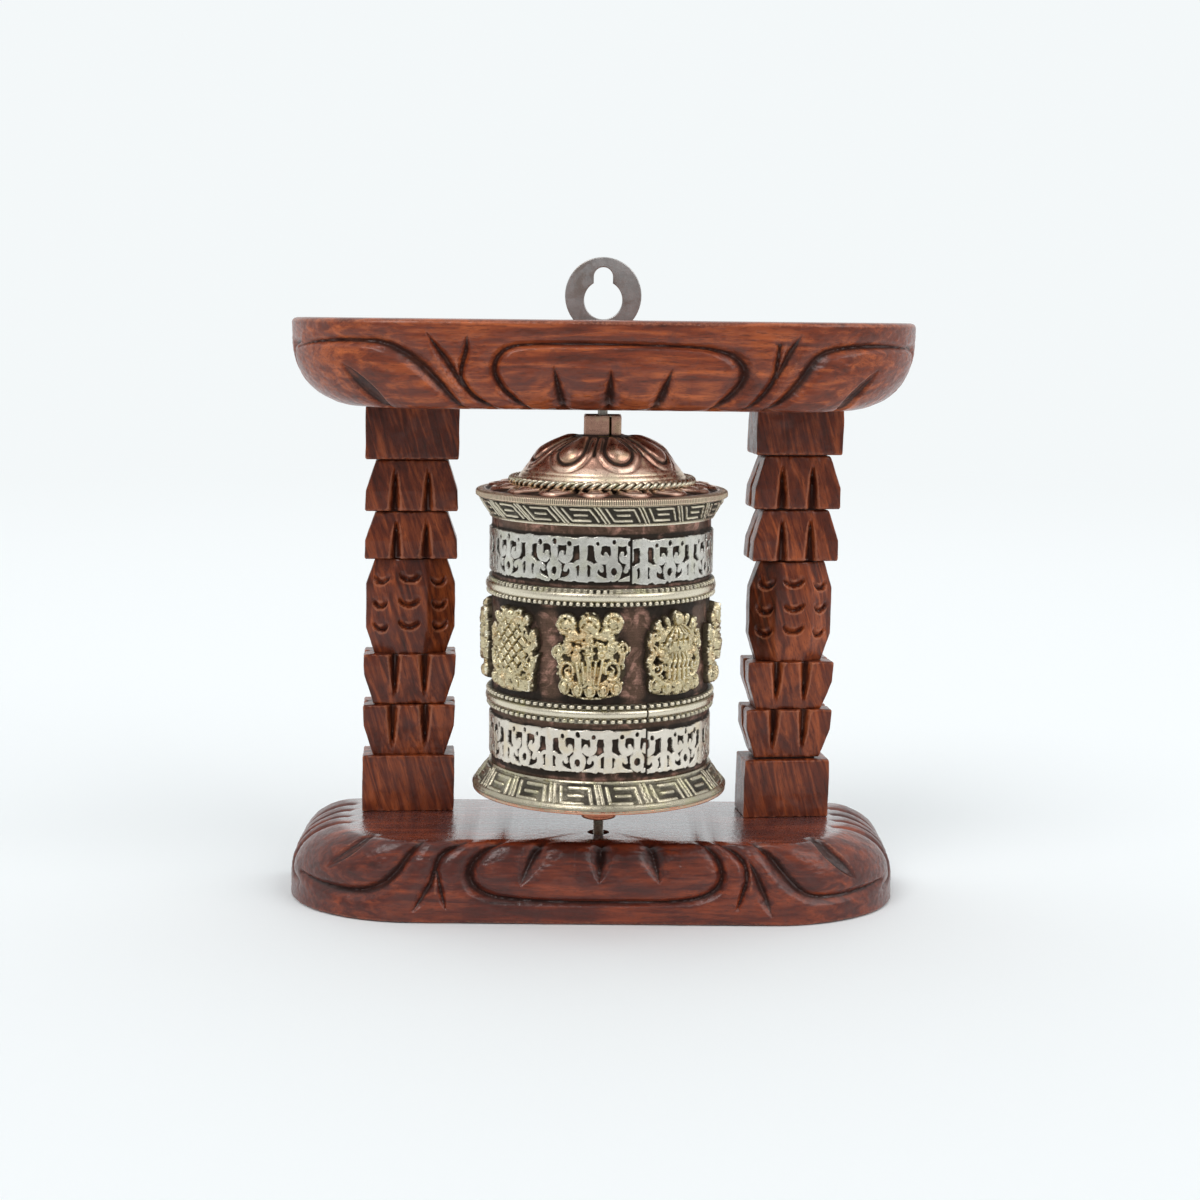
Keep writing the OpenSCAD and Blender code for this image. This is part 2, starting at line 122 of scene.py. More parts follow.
def soften(A, n=1, wrap=False):
    """Averages a 2-D array with its neighbours n times."""
    for _ in range(n):
        if wrap:
            B = (np.roll(A, 1, 0) + np.roll(A, -1, 0)) * 0.25 + A * 0.5
        else:
            P = np.pad(A, ((1, 1), (0, 0)), mode="edge")
            B = (P[:-2] + P[2:]) * 0.25 + A * 0.5
        P = np.pad(B, ((0, 0), (1, 1)), mode="edge")
        A = (P[:, :-2] + P[:, 2:]) * 0.25 + B * 0.5
    return A


def normals(P, cu=False, cv=False):
    """Unit normals of a grid of points."""
    def diff(axis, closed):
        if closed:
            return np.roll(P, -1, axis) - np.roll(P, 1, axis)
        return np.gradient(P, axis=axis)
    n = np.cross(diff(0, cu), diff(1, cv))
    return n / np.maximum(np.linalg.norm(n, axis=-1, keepdims=True), 1e-12)


# ------------------------------------------------------------------ meshes

class Geo:
    """Gathers grids and fills in millimetres and makes one mesh of them."""

    def __init__(s):
        s.V, s.A, s.Q, s.T, s.SQ, s.ST, s.n = [], [], [], [], [], [], 0

    def _points(s, P, cav, edge):
        P = np.asarray(P, float)
        shape = P.shape[:-1]
        a = np.stack([np.broadcast_to(cav, shape).ravel(), np.broadcast_to(edge, shape).ravel()], 1)
        s.V.append(P.reshape(-1, 3))
        s.A.append(np.asarray(a, float))
        start = s.n
        s.n += P.reshape(-1, 3).shape[0]
        return start

    def grid(s, P, cu=False, cv=False, flip=False, mask=None, cav=0.0, edge=0.0, smooth=True):
        P = np.asarray(P, float)
        nu, nv = P.shape[:2]
        k = s._points(P, cav, edge) + np.arange(nu * nv).reshape(nu, nv)
        if cu:
            k = np.vstack([k, k[:1]])
        if cv:
            k = np.hstack([k, k[:, :1]])
        q = np.stack([k[:-1, :-1], k[1:, :-1], k[1:, 1:], k[:-1, 1:]], -1)
        if flip:
            q = q[..., ::-1]
        if mask is not None:
            m = np.asarray(mask)
            if cu:
                m = np.vstack([m, m[:1]])
            if cv:
                m = np.hstack([m, m[:, :1]])
            q = q[m[:-1, :-1] & m[1:, :-1] & m[1:, 1:] & m[:-1, 1:]]
        q = q.reshape(-1, 4)
        s.Q.append(q)
        s.SQ.append(np.full(len(q), smooth))

    def tris(s, P, F, cav=0.0, edge=0.0, smooth=False):
        k = s._points(np.asarray(P, float), cav, edge)
        F = np.asarray(F, int).reshape(-1, 3) + k
        s.T.append(F)
        s.ST.append(np.full(len(F), smooth))

    def fan(s, ring, centre, flip=False, cav=0.0, edge=0.0, smooth=True):
        ring = np.asarray(ring, float)
        n = len(ring)
        i = np.arange(n)
        F = np.stack([i, (i + 1) % n, np.full(n, n)], 1)
        s.tris(np.vstack([ring, np.asarray(centre, float)[None]]), F[:, ::-1] if flip else F, cav, edge, smooth)

    def fill(s, outer, holes, z_of, flip=False, cav=0.0, edge=0.0):
        """Fills a flat region with round holes. outer is (n, 3), holes are (m, 3) rings, all in one plane z."""
        rings = [np.asarray(outer, float)] + [np.asarray(h, float) for h in holes]
        P = np.vstack(rings)
        E, k = [], 0
        for r in rings:
            n = len(r)
            E += [(k + a, k + (a + 1) % n) for a in range(n)]
            k += n
        vs, es, fs, ov, oe, of_ = delaunay_2d_cdt([Vector((float(a), float(b))) for a, b in P[:, :2]], E, [], 2, 1e-7)
        Q = np.array([P[o[0]] if o else (v[0], v[1], z_of) for v, o in zip(vs, ov)])
        F = np.array([list(f) for f in fs], int)
        c = Q[F]
        area = (c[:, 1, 0] - c[:, 0, 0]) * (c[:, 2, 1] - c[:, 0, 1]) - (c[:, 2, 0] - c[:, 0, 0]) * (c[:, 1, 1] - c[:, 0, 1])
        F = np.where((area > 0)[:, None], F, F[:, ::-1])
        mid = c.mean(1)[:, :2]
        open_ = np.zeros(len(F), bool)
        for h in rings[1:]:
            o = h[:, :2].mean(0)
            r = np.linalg.norm((h[:, :2] + np.roll(h[:, :2], 1, 0)) / 2 - o, axis=1).min()
            open_ |= np.linalg.norm(mid - o, axis=1) < r
        F = F[~open_]
        s.tris(Q, F[:, ::-1] if flip else F, cav, edge, False)

    def make(s, name, body, nodes, slot, mat, angle=40.0):
        V, A = np.concatenate(s.V), np.concatenate(s.A)
        Q = np.concatenate(s.Q) if s.Q else np.zeros((0, 4), int)
        T = np.concatenate(s.T) if s.T else np.zeros((0, 3), int)
        SQ = np.concatenate(s.SQ) if s.SQ else np.zeros(0, bool)
        ST = np.concatenate(s.ST) if s.ST else np.zeros(0, bool)
        i = np.round(V * 2000).astype(np.int64) + (1 << 20)
        key = (i[:, 0] << 42) | (i[:, 1] << 21) | i[:, 2]
        _, first, inv = np.unique(key, return_index=True, return_inverse=True)
        V, A, Q, T = V[first], A[first], inv[Q], inv[T]
        bad = (Q[:, 0] == Q[:, 2]) | (Q[:, 1] == Q[:, 3])
        Q, SQ = Q[~bad], SQ[~bad]
        same = np.stack([Q[:, a] == Q[:, (a + 1) % 4] for a in range(4)], 1)
        count = same.sum(1)
        extra, flags = [], []
        for a in range(4):
            m = (count == 1) & same[:, a]
            extra.append(Q[m][:, [b for b in range(4) if b != a]])
            flags.append(SQ[m])
        Q, SQ = Q[count == 0], SQ[count == 0]
        T = np.concatenate([T] + extra)
        ST = np.concatenate([ST] + flags)
        ok = (T[:, 0] != T[:, 1]) & (T[:, 1] != T[:, 2]) & (T[:, 2] != T[:, 0])
        T, ST = T[ok], ST[ok]
        used = np.zeros(len(V), bool)
        used[Q.ravel()] = True
        used[T.ravel()] = True
        new = np.cumsum(used) - 1
        V, A, Q, T = V[used], A[used], new[Q], new[T]
        me = bpy.data.meshes.new(name)
        me.vertices.add(len(V))
        me.vertices.foreach_set("co", (V * MM).astype(np.float32).ravel())
        loops = np.concatenate([Q.ravel(), T.ravel()]).astype(np.int32)
        me.loops.add(len(loops))
        me.loops.foreach_set("vertex_index", loops)
        nq, nt = len(Q), len(T)
        me.polygons.add(nq + nt)
        me.polygons.foreach_set("loop_start", np.concatenate([np.arange(nq) * 4, nq * 4 + np.arange(nt) * 3]).astype(np.int32))
        me.update(calc_edges=True)
        me.polygons.foreach_set("use_smooth", np.concatenate([SQ, ST]))
        for n, col in (("cav", 0), ("edge", 1)):
            me.attributes.new(n, "FLOAT", "POINT").data.foreach_set("value", A[:, col].astype(np.float32))
        me.validate()
        if angle < 180:
            me.set_sharp_from_angle(angle=math.radians(angle))
        me.materials.append(mat)
        ob = bpy.data.objects.new(name, me)
        bpy.context.scene.collection.objects.link(ob)
        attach(ob, body)
        if nodes:
            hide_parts(*nodes)
        return ob


def around(n, start=0.0):
    """Angles about the drum, from the front (-Y) towards +X."""
    return start + np.arange(n) / n * TAU


def polar(th, r, z):
    th, r, z = np.broadcast_arrays(th, r, z)
    return np.stack([r * np.sin(th), -r * np.cos(th), z], -1)


def lathe(geo, n, profile, cav=0.0, edge=0.0, dr=None, closed=False, smooth=True):
    """A surface of revolution. The profile goes up the outside, as (r, z). dr(th, r, z) moves it outwards."""
    p = np.asarray(profile, float)
    th = around(n)[:, None]
    r = np.broadcast_to(p[None, :, 0], (n, len(p))).copy()
    z = np.broadcast_to(p[None, :, 1], (n, len(p))).copy()
    if dr is not None:
        r = r + dr(th, r, z)
    geo.grid(polar(th, r, z), cu=True, cv=closed, cav=cav, edge=edge, smooth=smooth)


def resample(pts, step):
    """Points along a polyline at about that spacing, keeping its corners."""
    p = np.asarray(pts, float)
    out = [p[:1]]
    for a, b in zip(p[:-1], p[1:]):
        n = max(1, int(round(np.linalg.norm(b - a) / step)))
        out.append(a + (b - a) * (np.arange(1, n + 1) / n)[:, None])
    return np.vstack(out)


def rounded(pts, r, n=4):
    """A closed or open polyline of (r, z) with each inner corner rounded by about r."""
    p = np.asarray(pts, float)
    out = [p[0]]
    for a, b, c in zip(p[:-2], p[1:-1], p[2:]):
        u, v = a - b, c - b
        lu, lv = np.linalg.norm(u), np.linalg.norm(v)
        k = min(r, lu * 0.45, lv * 0.45)
        s, e = b + u / lu * k, b + v / lv * k
        for t in np.linspace(0, 1, n + 1):
            out.append((1 - t) ** 2 * s + 2 * t * (1 - t) * b + t * t * e)
    out.append(p[-1])
    return np.array(out)


# ------------------------------------------------------------------ materials

def srgb(r, g, b):
    f = lambda c: c / 12.92 if c <= 0.04045 else ((c + 0.055) / 1.055) ** 2.4
    return (f(r / 255), f(g / 255), f(b / 255), 1.0)


class Mat:
    def __init__(s, name):
        s.m = bpy.data.materials.new(name)
        s.m.use_nodes = True
        s.t = s.m.node_tree
        s.t.nodes.clear()
        s.out = s.t.nodes.new("ShaderNodeOutputMaterial")
        s.b = s.t.nodes.new("ShaderNodeBsdfPrincipled")
        s.t.links.new(s.b.outputs[0], s.out.inputs[0])
        s.co = s.t.nodes.new("ShaderNodeTexCoord").outputs["Object"]

    def put(s, sock, v):
        if hasattr(v, "is_linked"):
            s.t.links.new(v, sock)
        else:
            sock.default_value = v

    def set(s, **kw):
        for k, v in kw.items():
            s.put(s.b.inputs[k.replace("_", " ")], v)

    def map(s, scale, rot=(0, 0, 0), loc=(0, 0, 0), src=None):
        n = s.t.nodes.new("ShaderNodeMapping")
        s.t.links.new(s.co if src is None else src, n.inputs["Vector"])
        n.inputs["Scale"].default_value = tuple(1000 * v for v in scale) if not np.isscalar(scale) else (1000 * scale,) * 3
        n.inputs["Rotation"].default_value = rot
        n.inputs["Location"].default_value = loc
        return n.outputs[0]

    def noise(s, vec, detail=3.0, rough=0.55, dist=0.0, scale=1.0):
        n = s.t.nodes.new("ShaderNodeTexNoise")
        s.t.links.new(vec, n.inputs["Vector"])
        n.inputs["Scale"].default_value = scale
        n.inputs["Detail"].default_value = detail
        n.inputs["Roughness"].default_value = rough
        n.inputs["Distortion"].default_value = dist
        return n.outputs[0]

    def attr(s, name):
        n = s.t.nodes.new("ShaderNodeAttribute")
        n.attribute_name = name
        return n.outputs["Fac"]

    def op(s, kind, a, b=0.0, c=None, clamp=False):
        n = s.t.nodes.new("ShaderNodeMath")
        n.operation = kind
        n.use_clamp = clamp
        s.put(n.inputs[0], a)
        s.put(n.inputs[1], b)
        if c is not None:
            s.put(n.inputs[2], c)
        return n.outputs[0]

    def span(s, v, a, b, lo=0.0, hi=1.0, smooth=True):
        """v from a to b becomes lo to hi, clamped."""
        n = s.t.nodes.new("ShaderNodeMapRange")
        if smooth:
            n.interpolation_type = "SMOOTHSTEP"
        s.put(n.inputs["Value"], v)
        n.inputs["From Min"].default_value = a
        n.inputs["From Max"].default_value = b
        n.inputs["To Min"].default_value = lo
        n.inputs["To Max"].default_value = hi
        return n.outputs[0]

    def mix(s, f, a, b, kind="MIX"):
        n = s.t.nodes.new("ShaderNodeMix")
        n.data_type = "RGBA"
        n.blend_type = kind
        s.put(n.inputs[0], f)
        s.put(n.inputs[6], a)
        s.put(n.inputs[7], b)
        return n.outputs[2]

    def ramp(s, f, stops):
        n = s.t.nodes.new("ShaderNodeValToRGB")
        e = n.color_ramp.elements
        e[0].position, e[0].color = stops[0]
        e[1].position, e[1].color = stops[-1]
        for p, c in stops[1:-1]:
            x = e.new(p)
            x.color = c
        s.put(n.inputs[0], f)
        return n.outputs[0]

    def bump(s, height, strength=0.3, distance=0.0002, normal=None):
        n = s.t.nodes.new("ShaderNodeBump")
        n.inputs["Strength"].default_value = strength
        n.inputs["Distance"].default_value = distance
        s.put(n.inputs["Height"], height)
        if normal is not None:
            s.t.links.new(normal, n.inputs["Normal"])
        return n.outputs[0]


def wood(name, along, dark, mid, light, gloss, wear, rot=(0, 0, 0), spec=0.28, ior=1.48, flat=None, worn=srgb(192, 118, 84), slant=0.0):
    """Old varnished wood. along is the grain's direction: 0 for X, 2 for Z. Above flat (m) the varnish lies thick and smooth."""
    m = Mat(name)
    g = [0.42, 0.42, 0.42]
    g[along] = 0.04
    f = [2.9, 2.9, 2.9]
    f[along] = 0.34
    lay = m.map(0.001, (0.0, slant, 0.0)) if slant else None
    grain = m.noise(m.map(g, rot, src=lay), 4, 0.5, 1.1 if slant else 0.7)
    pores = m.noise(m.map(f, rot, src=lay), 4, 0.6, 0.3)
    blotch = m.noise(m.map(0.055), 3, 0.55, 0.6)
    fine = m.noise(m.map(1.3), 4, 0.65)
    tone = m.op("ADD", m.op("MULTIPLY", grain, 0.72), m.op("MULTIPLY", blotch, 0.34))
    if along == 0:
        # the sawn ends show faint growth rings in place of long grain
        part = m.t.nodes.new("ShaderNodeSeparateXYZ")
        m.t.links.new(m.co, part.inputs[0])
        end = m.span(m.op("ABSOLUTE", part.outputs[0]), 0.068, 0.084)
        dy, dz = m.op("SUBTRACT", part.outputs[1], 0.07), m.op("ADD", part.outputs[2], 0.04)
        away = m.op("SQRT", m.op("ADD", m.op("MULTIPLY", dy, dy), m.op("MULTIPLY", dz, dz)))
        ringing = m.op("SINE", m.op("ADD", m.op("MULTIPLY", away, 4600.0), m.op("MULTIPLY", grain, 7.0)))
        flat_tone = m.op("ADD", m.op("ADD", m.op("MULTIPLY", m.op("SUBTRACT", tone, 0.52), 0.35), 0.50), m.op("MULTIPLY", ringing, 0.028))
        tone = m.op("ADD", m.op("MULTIPLY", tone, m.op("SUBTRACT", 1.0, end)), m.op("MULTIPLY", flat_tone, end))
    col = m.ramp(tone, [(0.30, dark), (0.5, mid), (0.72, light)])
    col = m.mix(m.span(pores, 0.5, 0.68, 0.0, 0.5), col, srgb(48, 20, 12), "MIX")
    col = m.mix(m.span(m.noise(m.map(0.13, (0.3, 0.8, 0.1)), 4, 0.6, 0.9), 0.52, 0.7, 0.0, 0.5), col, srgb(78, 38, 32), "MIX")
    cav = m.attr("cav")
    rub = m.span(m.op("ADD", m.attr("edge"), m.op("MULTIPLY", m.op("SUBTRACT", fine, 0.5), 0.9)), 0.35, 0.95, 0.0, wear)
    col = m.mix(rub, col, worn, "MIX")
    # Darkened from cav in grooves, holes and slits: painted shade, with some grime.
    col = m.mix(m.span(m.op("ADD", cav, m.op("MULTIPLY", m.op("SUBTRACT", fine, 0.5), 0.5)), 0.12, 1.0, 0.0, 0.86), col, srgb(38, 17, 12), "MIX")
    rough = m.op("ADD", m.span(fine, 0.3, 0.7, 0.30, 0.5), m.op("MULTIPLY", cav, 0.12))
    nrm = m.bump(m.op("ADD", m.op("MULTIPLY", pores, -0.8), m.op("MULTIPLY", fine, 0.5)), 0.32, 0.00022)
    nrm = m.bump(grain, 0.25, 0.0005, nrm)
    m.set(Base_Color=col, Roughness=rough, Normal=nrm)
    m.set(Specular_IOR_Level=spec)
    if flat is None:
        m.set(Coat_IOR=ior, Coat_Weight=gloss, Coat_Roughness=0.13)
    else:
        z = m.t.nodes.new("ShaderNodeSeparateXYZ")
        m.t.links.new(m.co, z.inputs[0])
        thick = m.span(z.outputs[2], flat - 0.0007, flat - 0.0001)
        m.set(Coat_Weight=m.op("ADD", gloss, m.op("MULTIPLY", thick, 1.0 - gloss)), Coat_IOR=m.op("ADD", ior, m.op("MULTIPLY", thick, 0.75)))
        m.set(Coat_Roughness=m.op("ADD", m.op("SUBTRACT", 0.14, m.op("MULTIPLY", thick, 0.04)), m.op("MULTIPLY", m.span(blotch, 0.4, 0.65), 0.10)))
        m.set(Roughness=m.op("SUBTRACT", rough, m.op("MULTIPLY", thick, 0.16)))
        m.set(Specular_IOR_Level=m.op("ADD", spec, m.op("MULTIPLY", thick, 0.4)))
        m.set(Sheen_Weight=m.op("MULTIPLY", thick, 0.2), Sheen_Roughness=0.3, Sheen_Tint=(0.9, 0.84, 0.92, 1.0))
    m.put(m.b.inputs["Coat Normal"], m.bump(m.op("ADD", m.op("MULTIPLY", fine, 0.7), m.op("MULTIPLY", m.noise(m.map(0.45), 3, 0.55), 1.3)), 0.24, 0.00045))
    return m.m


def metal(name, base, dull, deep, shine=(0.24, 0.46), patch=0.5, tint=None, tint_amount=0.0, scale=1.0, bump=0.12, scratch=0.3, deep_amount=0.96, wear=None, worn=0.0, plate=None, brush=0.0):
    """Worn metal: two tones in patches, dark in its recesses from grime and painted shade, brighter on its rubbed
    edges.
    """
    m = Mat(name)
    big = m.noise(m.map(0.11 * scale), 4, 0.6, 0.5)
    mid = m.noise(m.map(0.6 * scale), 4, 0.6, 0.2)
    fine = m.noise(m.map(3.2 * scale), 3, 0.6)
    lines = m.noise(m.map((0.35, 0.35, 5.0)), 3, 0.6, 0.4)
    cav = m.attr("cav")
    col = m.mix(m.span(m.op("ADD", m.op("MULTIPLY", big, 0.65), m.op("MULTIPLY", mid, 0.35)), 0.5 - 0.16, 0.5 + 0.16, 1.0 - patch, 1.0), dull, base)
    if tint is not None:
        col = m.mix(m.span(m.noise(m.map(0.17 * scale, (0.4, 1.1, 0.2)), 4, 0.6, 0.7), 0.48, 0.66, 0.0, tint_amount), col, tint)
    if wear is not None:
        col = m.mix(m.span(m.op("ADD", m.attr("edge"), m.op("MULTIPLY", m.op("SUBTRACT", fine, 0.5), 0.5)), 0.3, 0.9, 0.0, worn), col, wear)
    if brush:
        col = m.mix(m.span(m.op("ADD", m.op("MULTIPLY", m.noise(m.map((0.10, 0.10, 3.0)), 4, 0.65, 0.3), 0.6), m.op("MULTIPLY", fine, 0.4)), 0.38, 0.62, 0.0, brush), col, dull)
    if plate is not None:
        # Where the edge value passes 1 the pale rim colour is laid on: partly the rim's own colour, partly a painted
        # highlight.
        col = m.mix(m.span(m.op("ADD", m.attr("edge"), m.op("MULTIPLY", m.op("SUBTRACT", mid, 0.5), 1.6)), 1.05, 1.9, 0.0, 0.85), col, plate)
    # Recesses, creases and joints darkened from cav: partly grime, partly painted shade.
    grime_and_shade = m.op("ADD", cav, m.op("MULTIPLY", m.op("SUBTRACT", m.op("ADD", m.op("MULTIPLY", fine, 0.5), m.op("MULTIPLY", mid, 0.5)), 0.5), 0.7))
    grime_and_shade = m.span(grime_and_shade, 0.1, 0.85, 0.0, deep_amount)
    col = m.mix(grime_and_shade, col, deep)
    rough = m.op("ADD", m.span(m.op("ADD", m.op("MULTIPLY", mid, 0.5), m.op("MULTIPLY", fine, 0.5)), 0.35, 0.65, shine[0], shine[1]), m.op("MULTIPLY", grime_and_shade, 0.25), clamp=True)
    nrm = m.bump(m.op("ADD", m.op("MULTIPLY", fine, 0.6), m.op("MULTIPLY", lines, scratch)), bump, 0.00025)
    nrm = m.bump(mid, bump * 0.8, 0.0006, nrm)
    m.set(Base_Color=col, Metallic=m.op("SUBTRACT", 1.0, m.op("MULTIPLY", grime_and_shade, 0.35)), Roughness=rough, Normal=nrm)
    m.set(Specular_IOR_Level=0.5)
    return m.m


WOOD = wood("carved_wood", 0, srgb(56, 21, 10), srgb(122, 50, 21), srgb(196, 100, 48), 0.5, 0.7)
BASEW = wood("carved_wood_base", 0, srgb(42, 14, 8), srgb(86, 29, 14), srgb(148, 64, 30), 0.6, 0.5, flat=0.0221)
POST = wood("post_wood", 2, srgb(50, 19, 8), srgb(100, 41, 20), srgb(172, 86, 44), 0.5, 0.45, spec=0.12, ior=1.5, slant=0.26)
SILVER = metal("white_metal", srgb(196, 187, 165), srgb(156, 147, 128), srgb(42, 36, 30), (0.2, 0.42), 0.7, srgb(188, 184, 140), 0.5, wear=srgb(238, 228, 206), worn=0.75)
SHEET = metal("white_metal_sheet", srgb(228, 225, 217), srgb(160, 157, 147), srgb(38, 33, 28), (0.22, 0.42), 0.6, srgb(196, 194, 164), 0.35, wear=srgb(226, 223, 212), worn=0.6, bump=0.08, scratch=0.6)
SHEET2 = metal("white_metal_sheet_low", srgb(238, 230, 217), srgb(200, 191, 176), srgb(38, 33, 28), (0.24, 0.44), 0.6, srgb(224, 198, 140), 0.3, wear=srgb(238, 231, 221), worn=0.6, bump=0.08, scratch=0.6)
COPPER = metal("copper", srgb(194, 150, 130), srgb(150, 114, 99), srgb(44, 32, 26), (0.22, 0.4), 0.75, srgb(196, 176, 140), 0.45, wear=srgb(246, 214, 192), worn=0.65, plate=srgb(238, 222, 190))
DARKCU = metal("dark_copper", srgb(122, 94, 81), srgb(80, 65, 53), srgb(38, 31, 24), (0.26, 0.46), 0.8, srgb(206, 156, 138), 0.85, scale=1.3, brush=0.55)
BRASS = metal("brass", srgb(196, 168, 96), srgb(160, 134, 78), srgb(40, 32, 20), (0.25, 0.42), 0.6)
PLAQUE = metal("plaque_brass", srgb(217, 204, 168), srgb(182, 168, 132), srgb(60, 49, 34), (0.22, 0.4), 0.7, srgb(223, 188, 142), 0.45, wear=srgb(249, 241, 216), worn=0.85, bump=0.3)
COPPER2 = metal("copper_bright", srgb(204, 128, 98), srgb(162, 98, 76), srgb(48, 32, 25), (0.22, 0.4), 0.7, srgb(176, 140, 110), 0.35, wear=srgb(240, 176, 146), worn=0.5, plate=srgb(190, 182, 158))
STEEL = metal("hanger_steel", srgb(186, 182, 180), srgb(160, 155, 152), srgb(66, 50, 40), (0.32, 0.5), 0.7, srgb(138, 120, 108), 0.5, bump=0.15)
SCREWM = metal("screw_steel", srgb(150, 147, 140), srgb(110, 106, 98), srgb(46, 40, 34), (0.28, 0.45), 0.7, srgb(110, 88, 66), 0.5)
PIVOT = metal("pivot_steel", srgb(188, 184, 174), srgb(148, 142, 130), srgb(40, 36, 31), (0.25, 0.42), 0.7, srgb(120, 100, 76), 0.4)


def paper_material():
    m = Mat("paper")
    fibre = m.noise(m.map((1.2, 1.2, 0.5)), 5, 0.65)
    blot = m.noise(m.map(0.09), 3, 0.5)
    col = m.ramp(m.op("ADD", m.op("MULTIPLY", fibre, 0.5), m.op("MULTIPLY", blot, 0.5)), [(0.35, srgb(176, 150, 104)), (0.65, srgb(214, 194, 150))])
    # cav: painted shade in the roll's gaps and under the lap, and darker towards its lower end.
    col = m.mix(m.span(m.attr("cav"), 0.1, 1.0, 0.0, 0.7), col, srgb(110, 86, 54))
    m.set(Base_Color=col, Roughness=m.span(fibre, 0.3, 0.7, 0.75, 0.92), Normal=m.bump(fibre, 0.3, 0.0002))
    return m.m


def thread_material():
    m = Mat("thread")
    fibre = m.noise(m.map(4.0), 3, 0.6)
    col = m.ramp(fibre, [(0.35, srgb(120, 38, 34)), (0.65, srgb(160, 62, 50))])
    m.set(Base_Color=col, Roughness=m.span(fibre, 0.3, 0.7, 0.7, 0.9), Normal=m.bump(fibre, 0.4, 0.0001))
    m.set(Sheen_Weight=0.3, Sheen_Roughness=0.5)
    return m.m


PAPER = paper_material()
THREAD = thread_material()

# ------------------------------------------------------------------ the two boards
# The board's edge is a strip of columns along its outline, from the back left corner round the front to the back right
# corner, and v runs from the rim (0) to where the edge meets the flat (1). S is the distance along the strip, 0 at X = 0.

EDGE_RIM, BACK_Y = 7.0, 36.3


def outline(step=0.262):
    th = np.linspace(0, PI / 2, 300)
    parts_o, parts_f = [], []
    ends = np.linspace(36.3, 18.5, 120)
    parts_o.append(np.stack([np.full(120, -85.8), ends], 1))
    parts_f.append(np.stack([np.full(120, -69.3), ends], 1))
    parts_o.append(np.stack([-47.8 - 38.0 * np.cos(th), 18.5 - 33.5 * np.sin(th)], 1)[1:])
    parts_f.append(np.stack([-47.8 - 21.5 * np.cos(th), 18.5 - 28.5 * np.sin(th)], 1)[1:])
    xs = np.linspace(-47.8, 0, 300)[1:]
    parts_o.append(np.stack([xs, np.full(len(xs), -15.0)], 1))
    parts_f.append(np.stack([xs, np.full(len(xs), -10.0)], 1))
    o, f = np.vstack(parts_o), np.vstack(parts_f)
    mid = (o + f) / 2
    s = np.concatenate([[0], np.cumsum(np.linalg.norm(np.diff(mid, axis=0), axis=1))])
    n = int(round(s[-1] / step))
    t = np.linspace(0, s[-1], n + 1)
    O = np.stack([np.interp(t, s, o[:, k]) for k in (0, 1)], 1)
    F = np.stack([np.interp(t, s, f[:, k]) for k in (0, 1)], 1)
    S = t - s[-1]
    flip = np.array([-1.0, 1.0])
    return np.vstack([O, O[-2::-1] * flip]), np.vstack([F, F[-2::-1] * flip]), np.concatenate([S, -S[-2::-1]])


OUT_O, OUT_F, OUT_S = outline()


def edge_rows(H, step=0.25):
    """Rows from the rim to the flat: v, height z and how far in, from 0 to 1."""
    ph = np.linspace(0, PI / 2, 400)
    zz = np.concatenate([np.linspace(0, EDGE_RIM, 100), EDGE_RIM + (H - EDGE_RIM) * np.sin(ph)[1:]])
    ww = np.concatenate([np.zeros(100), (1 - np.cos(ph))[1:]])
    s = np.concatenate([[0], np.cumsum(np.hypot(np.diff(zz), np.diff(ww) * 6.5))])
    n = int(round(s[-1] / step))
    t = np.linspace(0, s[-1], n + 1)
    return t / s[-1], np.interp(t, s, zz), np.interp(t, s, ww), s[-1]


def carve(S, Y, strokes):
    """Depth of carving from strokes of (S, y, width, depth) points: V grooves with soft shoulders."""
    deep = np.zeros(S.shape)
    shoulder = np.zeros(S.shape)
    for line, kind in strokes:
        d, half, val = stroke_field(S, Y, line)
        q = np.clip(-d / half, 0, 1)
        if kind == "flat":
            p = val * sm(0.0, 0.45, q)
        else:
            p = val * (0.75 * q + 0.25 * q * q)
        deep = np.maximum(deep, p)
        shoulder = np.maximum(shoulder, val * (0.34 if kind == "v" else 0.14) * np.exp(-np.maximum(d, 0) / 1.9))
    return deep, shoulder


